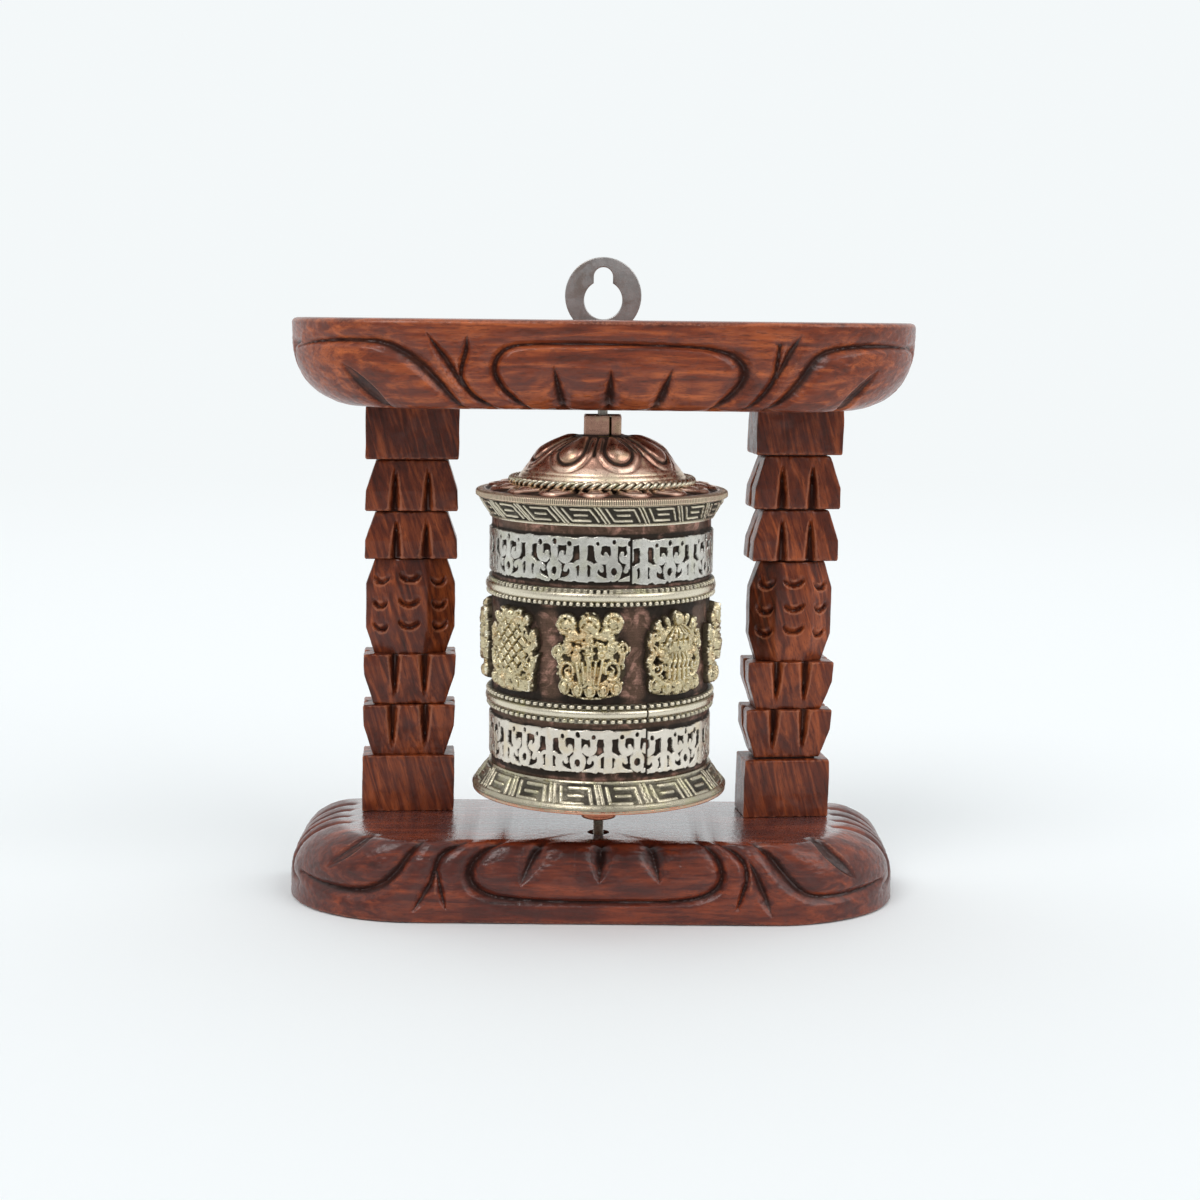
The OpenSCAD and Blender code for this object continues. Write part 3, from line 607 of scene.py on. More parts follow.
def board(name, node, H, shift, z_of, strokes, holes_flat, holes_rim, seed, rim_round, lift=1.0):
    """z_of(z) turns the height above the rim's side into the row frame's Z. mirrored boards flip the faces."""
    up = z_of(1.0) > z_of(0.0)
    v, zz, ww, L = edge_rows(H)
    Xs = OUT_O[:, 0, None] + (OUT_F[:, 0] - OUT_O[:, 0])[:, None] * ww[None]
    Ys = OUT_O[:, 1, None] + (OUT_F[:, 1] - OUT_O[:, 1])[:, None] * ww[None]
    Zs = np.broadcast_to(zz[None], Xs.shape)
    P = np.stack([Xs, Ys, Zs], -1)
    N = normals(P)
    if (N[len(N) // 2, 5, 1]) > 0:
        N = -N
    S2 = np.broadcast_to(OUT_S[:, None], Xs.shape)
    V2 = np.broadcast_to(v[None] * L, Xs.shape)

    def place(x, vv):
        j = int(np.clip(round(vv * (len(v) - 1)), 0, len(v) - 1))
        if isinstance(x, tuple):
            return x[0]
        lim = abs(Xs[0, j]) - 0.25
        return float(np.interp(min(max(x, -lim), lim), Xs[:, j], OUT_S))

    lines = []
    for kind, pts in strokes:
        raw = [(place(x, y), y * L, w, d) for x, y, w, d in pts]
        lines.append((catmull(raw, 7), kind))
    deep, shoulder = carve(S2, V2, lines)
    rough = 0.16 * fbm(S2 / 6.0, V2 / 3.5, seed * 7.3, 3, seed) + 0.05 * vnoise(S2 / 1.1, V2 / 0.7, 0, seed + 5)
    disp = -(deep + shoulder) + rough - 0.16
    # the rim's own edge is rounded over, and the carving fades out on the flat's edge
    rr = rim_round
    disp = disp - rr * (1 - np.sqrt(np.clip(1 - (1 - np.clip(V2 / rr, 0, 1)) ** 2, 0, 1)))
    disp = disp * (1 - 0.42 * sm(0.86, 1.0, V2 / L))
    blur = soften(disp, 10)
    edge = soften(np.clip((disp - blur) * 4.0, 0, 1), 2) * 0.75 + 0.35 * np.exp(-V2 / 0.8) + 0.25 * sm(0.965, 1.0, V2 / L)
    # cav darkens the grooves by their depth and the hollows: painted shade, with some grime.
    cav = sm(0.3, 1.7, deep) * 0.9 + np.clip((blur - disp) * 2.0, 0, 0.5)
    P = P + N * disp[..., None]
    P[..., 2] = np.clip(P[..., 2], 0.0, H)
    P[:, 0, 2] = 0
    P[..., 1] = np.minimum(P[..., 1], BACK_Y)
    lo, hi = -85.8 + 0.0, 85.8
    P[..., 0] = np.clip(P[..., 0], lo, hi)
    P[0, :, 1] = BACK_Y
    P[-1, :, 1] = BACK_Y
    W = P.copy()
    W[..., 0] += shift
    W[..., 2] = z_of(P[..., 2])
    geo = Geo()
    geo.grid(W, flip=not up, cav=cav, edge=edge)
    # back face between the two end profiles
    n = 60
    t = np.linspace(0, 1, n)[:, None, None]
    B = W[-1][None] * (1 - t) + W[0][None] * t
    geo.grid(B, flip=not up, cav=0.12, edge=0.0, smooth=False)
    # the flat: a narrow sloping lead-in, then the fill with its holes
    front = W[:, -1]
    back = B[1:-1, -1]
    loop = np.vstack([front, back])
    zf = z_of(H)
    inner = loop.copy()
    c = np.array([shift, 20.0])
    d = loop[:, :2] - c
    ln = np.linalg.norm(d, axis=1, keepdims=True)
    inner[:, :2] = loop[:, :2] - d / ln * 2.4
    inner[:, 1] = np.where(loop[:, 1] > BACK_Y - 1e-6, BACK_Y, inner[:, 1])
    inner[:, 2] = zf
    midl = loop * 0.5 + inner * 0.5
    midl[:, 2] = loop[:, 2] * 0.22 + zf * 0.78
    bandc = np.stack([np.concatenate([cav[:, -1], np.zeros(len(back))]), 0.3 * np.concatenate([cav[:, -1], np.zeros(len(back))]), np.zeros(len(loop))], 1)
    bande = np.stack([np.concatenate([edge[:, -1], np.zeros(len(back))]), np.full(len(loop), 0.12), np.zeros(len(loop))], 1)
    geo.grid(np.stack([loop, midl, inner], 1), cu=True, flip=not up, cav=bandc, edge=bande)

    def ring(x, y, r, z, k=48):
        a = np.arange(k) / k * TAU
        return np.stack([x + r * np.cos(a), y + r * np.sin(a), np.full(k, z)], 1)

    def bore(x, y, r, z, depth, into):
        """The wall and floor of a hole that goes from z by depth; into is +1 or -1 along Z."""
        a = ring(x, y, r, z)
        b = ring(x, y, r, z + into * depth)
        # Wall and floor painted dark: painted shade inside the hole.
        geo.grid(np.stack([a, ring(x, y, r, z + into * depth * 0.5), b], 1), cu=True, flip=into > 0, cav=0.9)
        geo.fan(b, (x, y, z + into * depth), flip=into > 0, cav=1.0, smooth=False)

    geo.fill(inner, [ring(x, y, r, zf) for x, y, r, dep in holes_flat], zf, flip=not up)
    for x, y, r, dep in holes_flat:
        bore(x, y, r, zf, dep, -1 if up else 1)
    rimloop = np.vstack([W[:, 0], B[1:-1, 0]])
    zr = z_of(0.0)
    geo.fill(rimloop, [ring(x, y, r, zr) for x, y, r, dep in holes_rim], zr, flip=up)
    for x, y, r, dep in holes_rim:
        bore(x, y, r, zr, dep, 1 if up else -1)
    return geo.make(name, "frame", [node], "carved_wood", BASEW if up else WOOD, 50)


def G(*pts):
    return ("v", pts)


def lens(x0, v0, x1, v1, w, d, kind="v"):
    """A notch that is pointed at its first end and widest at two thirds."""
    f = lambda t: (x0 + (x1 - x0) * t, v0 + (v1 - v0) * t)
    return (kind, [(*f(0), 0.3, 0.3), (*f(0.2), w * 0.55, d * 0.6), (*f(0.45), w * 0.9, d * 0.95), (*f(0.7), w, d), (*f(1.0), w * 0.8, d)])


# the carved ends, seen from the sides, in S: the leaf's far line, and two notches and a groove behind it
S_END = OUT_S[-1]
E = lambda k: (k,)


def end_strokes(sign):
    e = lambda s: (sign * s,)
    a = S_END
    return [
        G((e(a - 31.5), 0.24, 1.6, 1.0), (e(a - 26.5), 0.28, 2.4, 1.4), (e(a - 24.0), 0.42, 2.8, 1.6), (e(a - 24.0), 0.62, 2.6, 1.5), (e(a - 26.0), 0.85, 2.2, 1.3), (e(a - 28.5), 1.02, 1.8, 1.0)),
        G((e(a - 21.5), 0.12, 1.2, 0.8), (e(a - 19.6), 0.3, 2.2, 1.4), (e(a - 19.2), 0.6, 2.4, 1.5), (e(a - 20.6), 1.02, 1.9, 1.1)),
        G((e(a - 0.0), 0.26, 2.2, 1.3), (e(a - 7.0), 0.25, 2.2, 1.3), (e(a - 12.0), 0.28, 2.4, 1.4), (e(a - 14.6), 0.42, 2.8, 1.5), (e(a - 14.2), 0.7, 2.4, 1.4), (e(a - 12.6), 1.02, 2.0, 1.1)),
        (lens(0, 0, 1, 1, 3.4, 1.4)[0], [(e(a - 6.5), 0.45, 0.3, 0.3), (e(a - 6.3), 0.55, 2.2, 0.9), (e(a - 6.0), 0.72, 3.2, 1.3), (e(a - 5.6), 1.0, 2.6, 1.2)]),
    ]


TOP_STROKES = [
    # central panel
    G((-19.6, 1.02, 2.6, 1.5), (-23.4, 0.85, 3.0, 1.7), (-26.8, 0.69, 3.2, 1.9), (-28.6, 0.52, 3.2, 1.9), (-27.6, 0.37, 3.0, 1.7), (-24.5, 0.275, 2.5, 1.4), (-19.5, 0.245, 2.1, 1.2), (-8, 0.235, 1.9, 1.1), (8, 0.24, 1.9, 1.1), (22, 0.255, 2.1, 1.2), (29, 0.285, 2.8, 1.5), (34, 0.36, 4.0, 2.0), (36.6, 0.5, 4.8, 2.3), (35.6, 0.66, 4.8, 2.3), (32.0, 0.84, 4.2, 2.0), (28, 1.02, 3.4, 1.6)),
    lens(-13.2, 0.45, -10.4, 1.02, 4.4, 2.1),
    lens(1.9, 0.49, 1.3, 1.02, 5.0, 2.3),
    lens(17.9, 0.47, 13.4, 1.02, 4.8, 2.2),
    # the forked cuts either side of it
    G((-46.2, 0.13, 0.5, 0.4), (-44.0, 0.26, 2.2, 1.3), (-41.0, 0.42, 3.4, 1.9), (-37.9, 0.62, 3.2, 1.8), (-36.6, 0.70, 2.4, 1.4)),
    G((-35.7, 0.17, 0.8, 0.6), (-35.9, 0.30, 2.8, 1.6), (-36.9, 0.45, 2.8, 1.7), (-37.3, 0.6, 2.8, 1.7), (-34.8, 0.78, 3.0, 1.8), (-30.8, 0.93, 2.8, 1.6), (-28.6, 1.02, 2.6, 1.4)),
    G((45.6, 0.24, 2.6, 1.4), (45.2, 0.4, 3.2, 1.7), (44.6, 0.56, 3.2, 1.8), (42.2, 0.74, 3.4, 1.8), (38.8, 0.92, 3.0, 1.6), (36.4, 1.02, 2.6, 1.4)),
    G((51.2, 0.13, 0.6, 0.4), (49.3, 0.25, 3.0, 1.6), (46.9, 0.42, 3.6, 1.9), (45.0, 0.56, 3.0, 1.7)),
    # the leaves at the corners
    G((-82.5, 0.30, 1.0, 0.5), (-78.5, 0.25, 2.0, 1.0), (-70.7, 0.222, 2.8, 1.4), (-63, 0.222, 3.2, 1.6), (-57.8, 0.245, 3.8, 1.9), (-52.6, 0.335, 4.4, 2.2), (-47.5, 0.47, 4.6, 2.3), (-42.3, 0.70, 4.2, 2.1), (-37.2, 1.0, 3.2, 1.6)),
    lens(-68.9, 0.46, -56.6, 0.97, 4.6, 1.6, "flat"),
    G((82.8, 0.27, 1.4, 0.7), (77.7, 0.24, 2.6, 1.2), (71.2, 0.235, 3.0, 1.5), (66, 0.245, 3.2, 1.6), (60.9, 0.27, 3.6, 1.8), (57, 0.33, 4.0, 2.0), (54.4, 0.44, 4.4, 2.2), (50.6, 0.66, 4.6, 2.3), (46.7, 0.84, 3.8, 1.9), (42.6, 1.0, 3.0, 1.5)),
    lens(72.5, 0.48, 61.6, 0.99, 4.2, 1.5, "flat"),
] + end_strokes(-1) + end_strokes(1)

BASE_STROKES = [
    G((-24.6, 1.02, 3.0, 1.6), (-28.5, 0.88, 3.6, 1.9), (-32.0, 0.70, 4.2, 2.2), (-33.0, 0.55, 4.2, 2.2), (-31.6, 0.41, 3.8, 2.0), (-27.5, 0.31, 3.2, 1.7), (-21, 0.27, 2.6, 1.4), (-8, 0.25, 2.1, 1.2), (8, 0.25, 2.1, 1.2), (22, 0.26, 2.3, 1.3), (29, 0.30, 2.8, 1.5), (33.6, 0.40, 3.2, 1.7), (35.3, 0.55, 3.2, 1.8), (34.2, 0.75, 3.0, 1.7), (31.6, 0.92, 2.6, 1.4), (29.5, 1.02, 2.4, 1.2)),
    lens(-19.2, 0.43, -13.6, 1.02, 5.0, 2.2),
    lens(2.1, 0.47, 2.7, 1.02, 5.0, 2.3),
    lens(18.4, 0.47, 15.6, 1.02, 5.0, 2.2),
    G((-34.2, 1.02, 3.0, 1.6), (-37.4, 0.92, 3.4, 1.8), (-40.8, 0.78, 3.4, 1.8), (-42.2, 0.62, 3.0, 1.7), (-43.4, 0.45, 3.2, 1.7), (-45.6, 0.29, 3.0, 1.4), (-48.2, 0.14, 1.0, 0.6)),
    G((-42.0, 0.60, 2.4, 1.3), (-41.0, 0.44, 2.6, 1.4), (-40.3, 0.3, 2.2, 1.2), (-39.4, 0.17, 0.8, 0.6)),
    G((34.2, 1.02, 2.2, 1.2), (38.2, 0.88, 2.8, 1.5), (41.4, 0.7, 3.0, 1.6), (42.0, 0.52, 2.8, 1.5), (41.0, 0.36, 2.4, 1.3), (39.6, 0.19, 1.2, 0.8)),
    G((42.4, 0.74, 1.2, 0.8), (44.2, 0.6, 3.4, 1.7), (46.0, 0.42, 4.0, 1.9), (47.6, 0.26, 3.2, 1.5), (49.0, 0.11, 0.8, 0.5)),
    G((-46.0, 1.02, 3.0, 1.6), (-49.4, 0.80, 3.8, 2.0), (-53.2, 0.57, 4.2, 2.2), (-57.6, 0.41, 4.4, 2.2), (-63.5, 0.32, 4.2, 2.0), (-70.5, 0.31, 3.6, 1.7), (-77.0, 0.34, 2.6, 1.2), (-81.0, 0.38, 1.4, 0.7)),
    lens(-72.0, 0.55, -60.0, 0.99, 3.6, 1.2, "flat"),
    G((44.4, 1.02, 3.2, 1.7), (48.6, 0.80, 4.4, 2.2), (52.6, 0.58, 4.6, 2.3), (56.8, 0.40, 4.0, 2.0), (61.0, 0.31, 3.4, 1.6), (68.0, 0.29, 3.2, 1.4), (75.5, 0.31, 2.8, 1.3), (81.0, 0.35, 1.4, 0.7)),
    lens(72.5, 0.46, 60.5, 1.0, 4.4, 1.6, "flat"),
] + end_strokes(-1) + end_strokes(1)

BASE_STROKES = [(k_, [(*p_[:-2], p_[-2] * 1.22, p_[-1] * 1.05) for p_ in s_]) for k_, s_ in BASE_STROKES]
TOP_STROKES = [(k_, [(*p_[:-2], p_[-2] * 1.18, p_[-1]) for p_ in s_]) for k_, s_ in TOP_STROKES]

LEFT = dict(x=-55.0, y=28.0, turn=math.radians(4.5), w=26.4)
RIGHT = dict(x=52.6, y=25.0, turn=math.radians(6.5), w=24.8)
LEAN, POST_H, BASE_T, TOP_Z0, TOP_Z1 = 1.8, 116.3, 22.0, 138.3, 161.8


def post_at(P, post):
    """From a post's own frame (x across, y back, z up from its foot) to the row frame."""
    x = P[..., 0] + LEAN * P[..., 2] / POST_H
    y = P[..., 1]
    c, s = math.cos(post["turn"]), math.sin(post["turn"])
    return np.stack([post["x"] + x * c - y * s, post["y"] + x * s + y * c, BASE_T + P[..., 2]], -1)


def head_spot(post):
    c, s = math.cos(post["turn"]), math.sin(post["turn"])
    return post["x"] + LEAN * c, post["y"] + LEAN * s


board("base_board_carved", "base_board", 22.0, -1.8, lambda z: z, BASE_STROKES,
      [(0, 0, 3.0, 3.0)], [(0, 0, 3.1, 3.0), (LEFT["x"], LEFT["y"], 3.1, 1.9), (RIGHT["x"], RIGHT["y"], 3.1, 1.9)], 3, 0.9)
board("top_board_carved", "top_board", 23.5, 0.2, lambda z: TOP_Z1 - z, TOP_STROKES,
      [(0, 0, 1.5, 3.0)], [(0, 0, 2.9, 1.3), (*head_spot(LEFT), 3.1, 1.9), (*head_spot(RIGHT), 3.1, 1.9)], 11, 1.4)

# ------------------------------------------------------------------ the posts
# Seven carved lengths, each a closed solid: block, two upturned bells, eight-sided middle, two bells, block.

def section_points(kind, hx, hy, n_long, n_short):
    """Points round one level, the front (-Y) face first, anticlockwise from above, with each point's face and place on it."""
    if kind == "rect":
        corners = [(-hx, -hy), (hx, -hy), (hx, hy), (-hx, hy)]
        counts = [n_long, n_short, n_long, n_short]
    else:
        a, b = 4.8 * (0.72 + 0.28 * kind[1]), 2.6
        corners = [(-a, -hy), (a, -hy), (hx, -b), (hx, b), (a, hy), (-a, hy), (-hx, b), (-hx, -b)]
        counts = [n_long, n_long, n_short, n_long, n_long, n_long, n_short, n_long]
    P, face, pos, width = [], [], [], []
    for k, c in enumerate(corners):
        e = corners[(k + 1) % len(corners)]
        ln = math.hypot(e[0] - c[0], e[1] - c[1])
        for t in np.arange(counts[k]) / counts[k]:
            P.append((c[0] + (e[0] - c[0]) * t, c[1] + (e[1] - c[1]) * t))
            face.append(k)
            pos.append((t - 0.5) * ln)
            width.append(ln)
    return np.array(P), np.array(face), np.array(pos), np.array(width)


def post_length(geo, post, z0, z1, level, shape, cut, seed, ragged=0.14, n_long=66, n_short=34, step=0.42, lip=0.45):
    """level(t) gives the half width and half depth, t from 0 at z0 to 1 at z1. cut(face, pos, width, z, t) is a depth."""
    n = max(6, int(round((z1 - z0) / step)))
    zz = np.concatenate([[z0, z0 + 0.12, z0 + 0.3], np.linspace(z0 + 0.55, z1 - 0.55, n), [z1 - 0.3, z1 - 0.12, z1]])
    rows, F, U, Wd = [], None, [], []
    for z in zz:
        t = (z - z0) / (z1 - z0)
        hx, hy = level(t)
        kind = "rect" if shape == "rect" else ("oct", shape(t))
        P, F, u, w = section_points(kind, hx, hy, n_long, n_short)
        rows.append(P)
        U.append(u)
        Wd.append(w)
    P = np.stack(rows, 1)
    for _ in range(2):
        P = (np.roll(P, 1, 0) + np.roll(P, -1, 0)) * 0.25 + P * 0.5
    U, Wd = np.stack(U, 1), np.stack(Wd, 1)
    Z = np.broadcast_to(zz[None], U.shape)
    Pz = np.concatenate([P, Z[..., None]], -1)
    N = normals(Pz, cu=True)
    T = (Z - z0) / (z1 - z0)
    deep = cut(F[:, None], U, Wd, Z, T)
    ends = np.minimum(Z - z0, z1 - Z)
    x, y = P[..., 0], P[..., 1]
    rough = 0.14 * fbm(x / 3.0, y / 3.0 + seed, Z / 5.0, 3, seed) + 0.05 * vnoise(x / 0.8, y / 0.8, Z / 3.0, seed + 3)
    torn = ragged * np.clip(vnoise(x / 0.9, y / 0.9, Z / 0.9 + 7, seed + 9) + 0.2, 0, 1) * np.exp(-ends / 0.9)
    disp = -deep + rough - 0.12 - torn - lip * np.clip(1 - ends / lip, 0, 1) ** 2 * 0.9
    Q = Pz + N * disp[..., None] * np.array([1, 1, 0.25])
    q2 = disp - soften(disp, 6, wrap=True)
    crn = np.linalg.norm((np.roll(P, 2, 0) + np.roll(P, -2, 0)) / 2 - P, axis=-1)
    edge = np.clip(q2 * 4 + crn * 1.4 + 0.5 * np.exp(-ends / 0.5), 0, 1)
    # cav: grooves darkened by depth, painted shade with some grime; fall and rise paint shade where a length narrows
    # into the next.
    cav = sm(0.25, 1.5, deep)
    fall = 0.55 * np.exp(-(Z - z0) / 1.1) if level(0.0)[0] < level(0.5)[0] - 0.5 else 0.0
    rise = 0.55 * np.exp(-(z1 - Z) / 1.1) if level(1.0)[0] < level(0.5)[0] - 0.5 else 0.0
    cav = np.clip(cav + fall + rise, 0, 1)
    geo.grid(post_at(Q, post), cu=True, cav=cav, edge=edge)
    # The end caps, seen only in the slits, are painted dark as shade.
    for k, up in ((0, False), (-1, True)):
        ring = Q[:, k]
        c = ring.mean(0)
        mids = [ring * (1 - s) + c * s for s in (0.0, 0.3, 0.7)]
        G3 = np.stack(mids, 1)
        G3[:, 1:, 2] += 0.12 * fbm(G3[:, 1:, 0] / 2, G3[:, 1:, 1] / 2, k + seed, 2, seed)
        geo.grid(post_at(G3, post), cu=True, flip=not up, cav=np.array([0.2, 0.6, 0.8])[None].repeat(len(ring), 0), edge=np.array([0.4, 0.0, 0.0])[None].repeat(len(ring), 0))
        c2 = G3[:, -1].mean(0)
        geo.fan(post_at(G3[:, -1], post), post_at(c2[None], post)[0], flip=not up, cav=0.8)


def bell(post, geo, z0, z1, w, narrow_top, seed):
    """A bell: full width over the wide end's 42%, tapering to the neck. narrow_top says which end is the neck."""
    hx, hy, nx, ny = w / 2, 7.0, w / 2 - 3.0, 5.5

    def level(t):
        s = t if narrow_top else 1 - t
        k = np.clip((s - 0.40) / 0.60, 0, 1)
        return hx - 0.25 * np.clip(s / 0.4, 0, 1) - (hx - nx - 0.25) * k, hy - (hy - ny) * k

    def cut(face, u, width, z, t):
        s = t if narrow_top else 1 - t
        fade = 1 - sm(0.55, 0.93, s)
        half = 1.75 * (1 - 0.82 * np.clip(s / 0.93, 0, 1) ** 1.3)
        out = np.zeros(u.shape)
        front = (face == 0) | (face == 2)
        for g in (-1, 1):
            c = g * w * 0.168 + 0.25 * math.sin(seed * 3.1 + g)
            q = np.clip(1 - np.abs(u - c) / half, 0, 1)
            out = np.maximum(out, np.where(front, 1.85 * fade * q ** 0.9, 0))
        q = np.clip(1 - np.abs(u) / (half * 0.9), 0, 1)
        out = np.maximum(out, np.where(~front, 1.5 * fade * q, 0))
        return out

    post_length(geo, post, z0, z1, level, "rect", cut, seed, ragged=0.26)


def middle(post, geo, z0, z1, w, seed):
    def level(t):
        k = np.clip(min(t / 0.27, (1 - t) / 0.27), 0, 1)
        return w / 2 - 3.0 + 2.5 * k, 5.5 + 1.2 * k

    def shape(t):
        return float(np.clip(min(t / 0.27, (1 - t) / 0.27), 0, 1))

    H = z1 - z0

    def cut(face, u, width, z, t):
        out = np.zeros(u.shape)
        for f, dz, cx in ((0, 0.0, 0.0), (4, 0.0, 0.0), (1, -0.03, -0.3), (7, -0.03, 0.3), (3, -0.03, -0.3), (5, -0.03, 0.3)):
            m = np.broadcast_to(face == f, u.shape)
            rx = 3.3 if f in (0, 4) else 2.7
            for k, at in enumerate((0.84, 0.60, 0.36)):
                zc = z0 + H * (at + dz) + 0.3 * math.sin(seed + f * 1.7 + k * 2.3)
                xx = (u - cx - 0.25 * math.sin(seed * 2 + k + f)) / rx
                zz = (z - zc) / 2.7
                r = np.sqrt(xx ** 2 + np.where(zz < 0, zz, zz * 2.6) ** 2)
                lowside = sm(0.35, -0.55, zz)
                out = np.maximum(out, np.where(m, 1.15 * sm(1.0, 0.86, r) * sm(0.15, 0.86, r) * lowside, 0))
        return out

    post_length(geo, post, z0, z1, level, shape, cut, seed, n_long=30, n_short=16, lip=0.3)


def block(post, geo, z0, z1, w, seed, over0=0.0, over1=0.0):
    def level(t):
        return w / 2, 7.0

    def cut(face, u, width, z, t):
        return 0.25 * np.clip(vnoise(u / 5.0, z / 5.0, face * 3.0 + seed, seed + 21) - 0.25, 0, 1)

    post_length(geo, post, z0 - over0, z1 + over1, level, "rect", cut, seed, ragged=0.3)


def build_post(name, node, post, breaks, seed):
    geo = Geo()
    w = post["w"]
    b = [z - BASE_T for z in breaks]
    block(post, geo, b[0], b[1], w, seed)
    bell(post, geo, b[2], b[3], w, False, seed + 1)
    bell(post, geo, b[4], b[5], w, False, seed + 2)
    middle(post, geo, b[6], b[7], w, seed + 3)
    bell(post, geo, b[8], b[9], w, True, seed + 4)
    bell(post, geo, b[10], b[11], w, True, seed + 5)
    block(post, geo, b[12], b[13], w, seed + 6)
    # the core that shows in the slits between the lengths, painted fully dark as the slits' shade
    core = []
    for z in np.linspace(0.5, POST_H - 0.5, 40):
        slim = 2.9 if b[6] - 1.2 < z < b[7] + 1.2 else 0.0
        P, _, _, _ = section_points("rect", w / 2 - 4.2 - slim, 4.4 - slim * 0.5, 30, 14)
        core.append(np.column_stack([P, np.full(len(P), z)]))
    C = np.stack(core, 1)
    geo.grid(post_at(C, post), cu=True, cav=1.0)
    for k, up in ((0, False), (-1, True)):
        geo.fan(post_at(C[:, k], post), post_at(C[:, k].mean(0)[None], post)[0], flip=not up, cav=1.0, smooth=False)
    return geo.make(name, "frame", [node], "post_wood", POST, 38)


build_post("left_post_carved", "left_post", LEFT, [22.0, 38.3, 38.0, 52.9, 52.9, 67.5, 67.3, 94.6, 94.7, 108.0, 108.2, 122.5, 122.7, 138.3], 5)
build_post("right_post_carved", "right_post", RIGHT, [22.0, 38.6, 39.1, 53.1, 53.0, 66.8, 66.7, 95.1, 95.5, 109.8, 110.1, 124.9, 125.2, 138.3], 19)

# ------------------------------------------------------------------ screws, pin, hanger plate

def to_axis(P, origin, z_dir, x_dir):
    """From a screw's own frame, head at z = 0 and point at -z, to the row frame."""
    z = np.array(z_dir, float)
    x = np.array(x_dir, float)
    y = np.cross(z, x)
    return np.array(origin, float) + P[..., :1] * x + P[..., 1:2] * y + P[..., 2:3] * z


def wood_screw(geo, origin, z_dir, x_dir, length, r, head_r, sink=1.8, turn=0.3, sunk=0.0):
    """A countersunk cross-head screw with a real thread."""
    n = 72
    th = np.arange(n) / n * TAU
    f = lambda P: to_axis(P, origin, z_dir, x_dir)
    rr = np.concatenate([np.linspace(0.0, head_r - 0.25, 26)[1:], [head_r - 0.1, head_r]])
    R, TH = np.meshgrid(rr, th)
    X, Y = R * np.cos(TH + turn), R * np.sin(TH + turn)
    arm = np.minimum(np.abs(X) - 0.42, np.abs(Y) - 0.42)
    cross = sm(0.12, -0.12, np.maximum(arm, R - head_r * 0.62)) * 1.1
    Z = -sunk - cross - 0.25 * sm(head_r - 0.35, head_r, R)
    x, y = R * np.cos(TH), R * np.sin(TH)
    # Painted shade in the cross recess and round the head's rim; below, painted shade in the thread's valleys.
    geo.grid(f(np.stack([x, y, Z], -1)), cu=True, flip=True, cav=np.clip(cross * 0.8 + 0.3 * sm(head_r - 0.3, head_r, R), 0, 1), edge=0.0)
    geo.fan(f(np.stack([x[:, 0], y[:, 0], Z[:, 0]], -1)), f(np.array([0, 0, Z[:, 0].mean()])), cav=0.9)
    pitch = 1.35
    zs = np.concatenate([np.linspace(-sunk - 0.25, -sink, 6), np.arange(-sink - 0.15, -length + 2.8, -0.15), np.linspace(-length + 2.75, -length + 0.02, 14)])
    body = np.where(zs > -sink, head_r + (r * 0.72 - head_r) * (zs + sunk + 0.25) / (-sink + sunk + 0.25), r * 0.72)
    tip = np.clip((zs + length) / 3.0, 0.02, 1)
    ZZ, TT = np.meshgrid(zs, th)
    phase = (ZZ / pitch - TT / TAU) % 1.0
    ridge = np.clip(1 - np.abs(phase - 0.5) / 0.22, 0, 1) * r * 0.28 * sm(-sink - 1.5, -sink - 3.5, ZZ)
    RR = (body[None] + ridge) * tip[None]
    P = np.stack([RR * np.cos(TT), RR * np.sin(TT), ZZ], -1)
    geo.grid(f(P), cu=True, flip=True, cav=np.where(ZZ < -sink, 0.5 * (1 - ridge / (r * 0.28)), 0.1))
    geo.fan(f(P[:, -1]), f(np.array([0, 0, -length])), flip=True)


geo = Geo()
for p in (LEFT, RIGHT):
    hx, hy = head_spot(p)
    wood_screw(geo, (hx, hy, TOP_Z1), (0, 0, 1), (1, 0, 0), 38, 1.5, 3.0, turn=0.4 + p["x"], sunk=0.15)
geo.make("top_post_screw_set", "frame", ["top_post_screws"], "screw_steel", SCREWM, 35)
geo = Geo()
for p in (LEFT, RIGHT):
    wood_screw(geo, (p["x"], p["y"], 0), (0, 0, -1), (1, 0, 0), 38, 1.5, 3.0, turn=1.1 + p["x"], sunk=0.15)
geo.make("bottom_post_screw_set", "frame", ["bottom_post_screws"], "screw_steel", SCREWM, 35)
geo = Geo()
for k, z in enumerate((156.8, 147.8)):
    wood_screw(geo, (0, 37.5, z), (0, 1, 0), (1, 0, 0), 14, 1.5, 2.7, sink=1.2, turn=0.5 + k, sunk=0.05)
geo.make("hanger_screw_set", "frame", ["hanger_screws"], "screw_steel", SCREWM, 35)

# the top pin: a nail with a flat head, a smooth shank and a blunt point
geo = Geo()
prof = [(0.02, 123.8), (0.8, 123.95), (1.2, 124.5), (1.33, 124.9)] + [(1.33, z) for z in np.linspace(125.4, 159.6, 60)] + [(1.5, 160.2), (2.55, 160.65), (2.75, 160.9), (2.8, 161.2), (2.72, 161.5), (2.45, 161.65), (1.2, 161.72), (0.02, 161.74)]
lathe(geo, 64, prof, dr=lambda th, r, z: np.where(r > 1, 0.02 * fbm(np.sin(th) * 2, np.cos(th) * 2, z / 2.0, 2, 7) + 0.035 * (z < 160) * sm(0.9, 1.0, np.cos(z * TAU / 1.1)) * (z > 150), 0), cav=0.08)
geo.make("top_pivot_nail", "frame", ["top_pivot_pin"], "pivot_steel", PIVOT, 50)

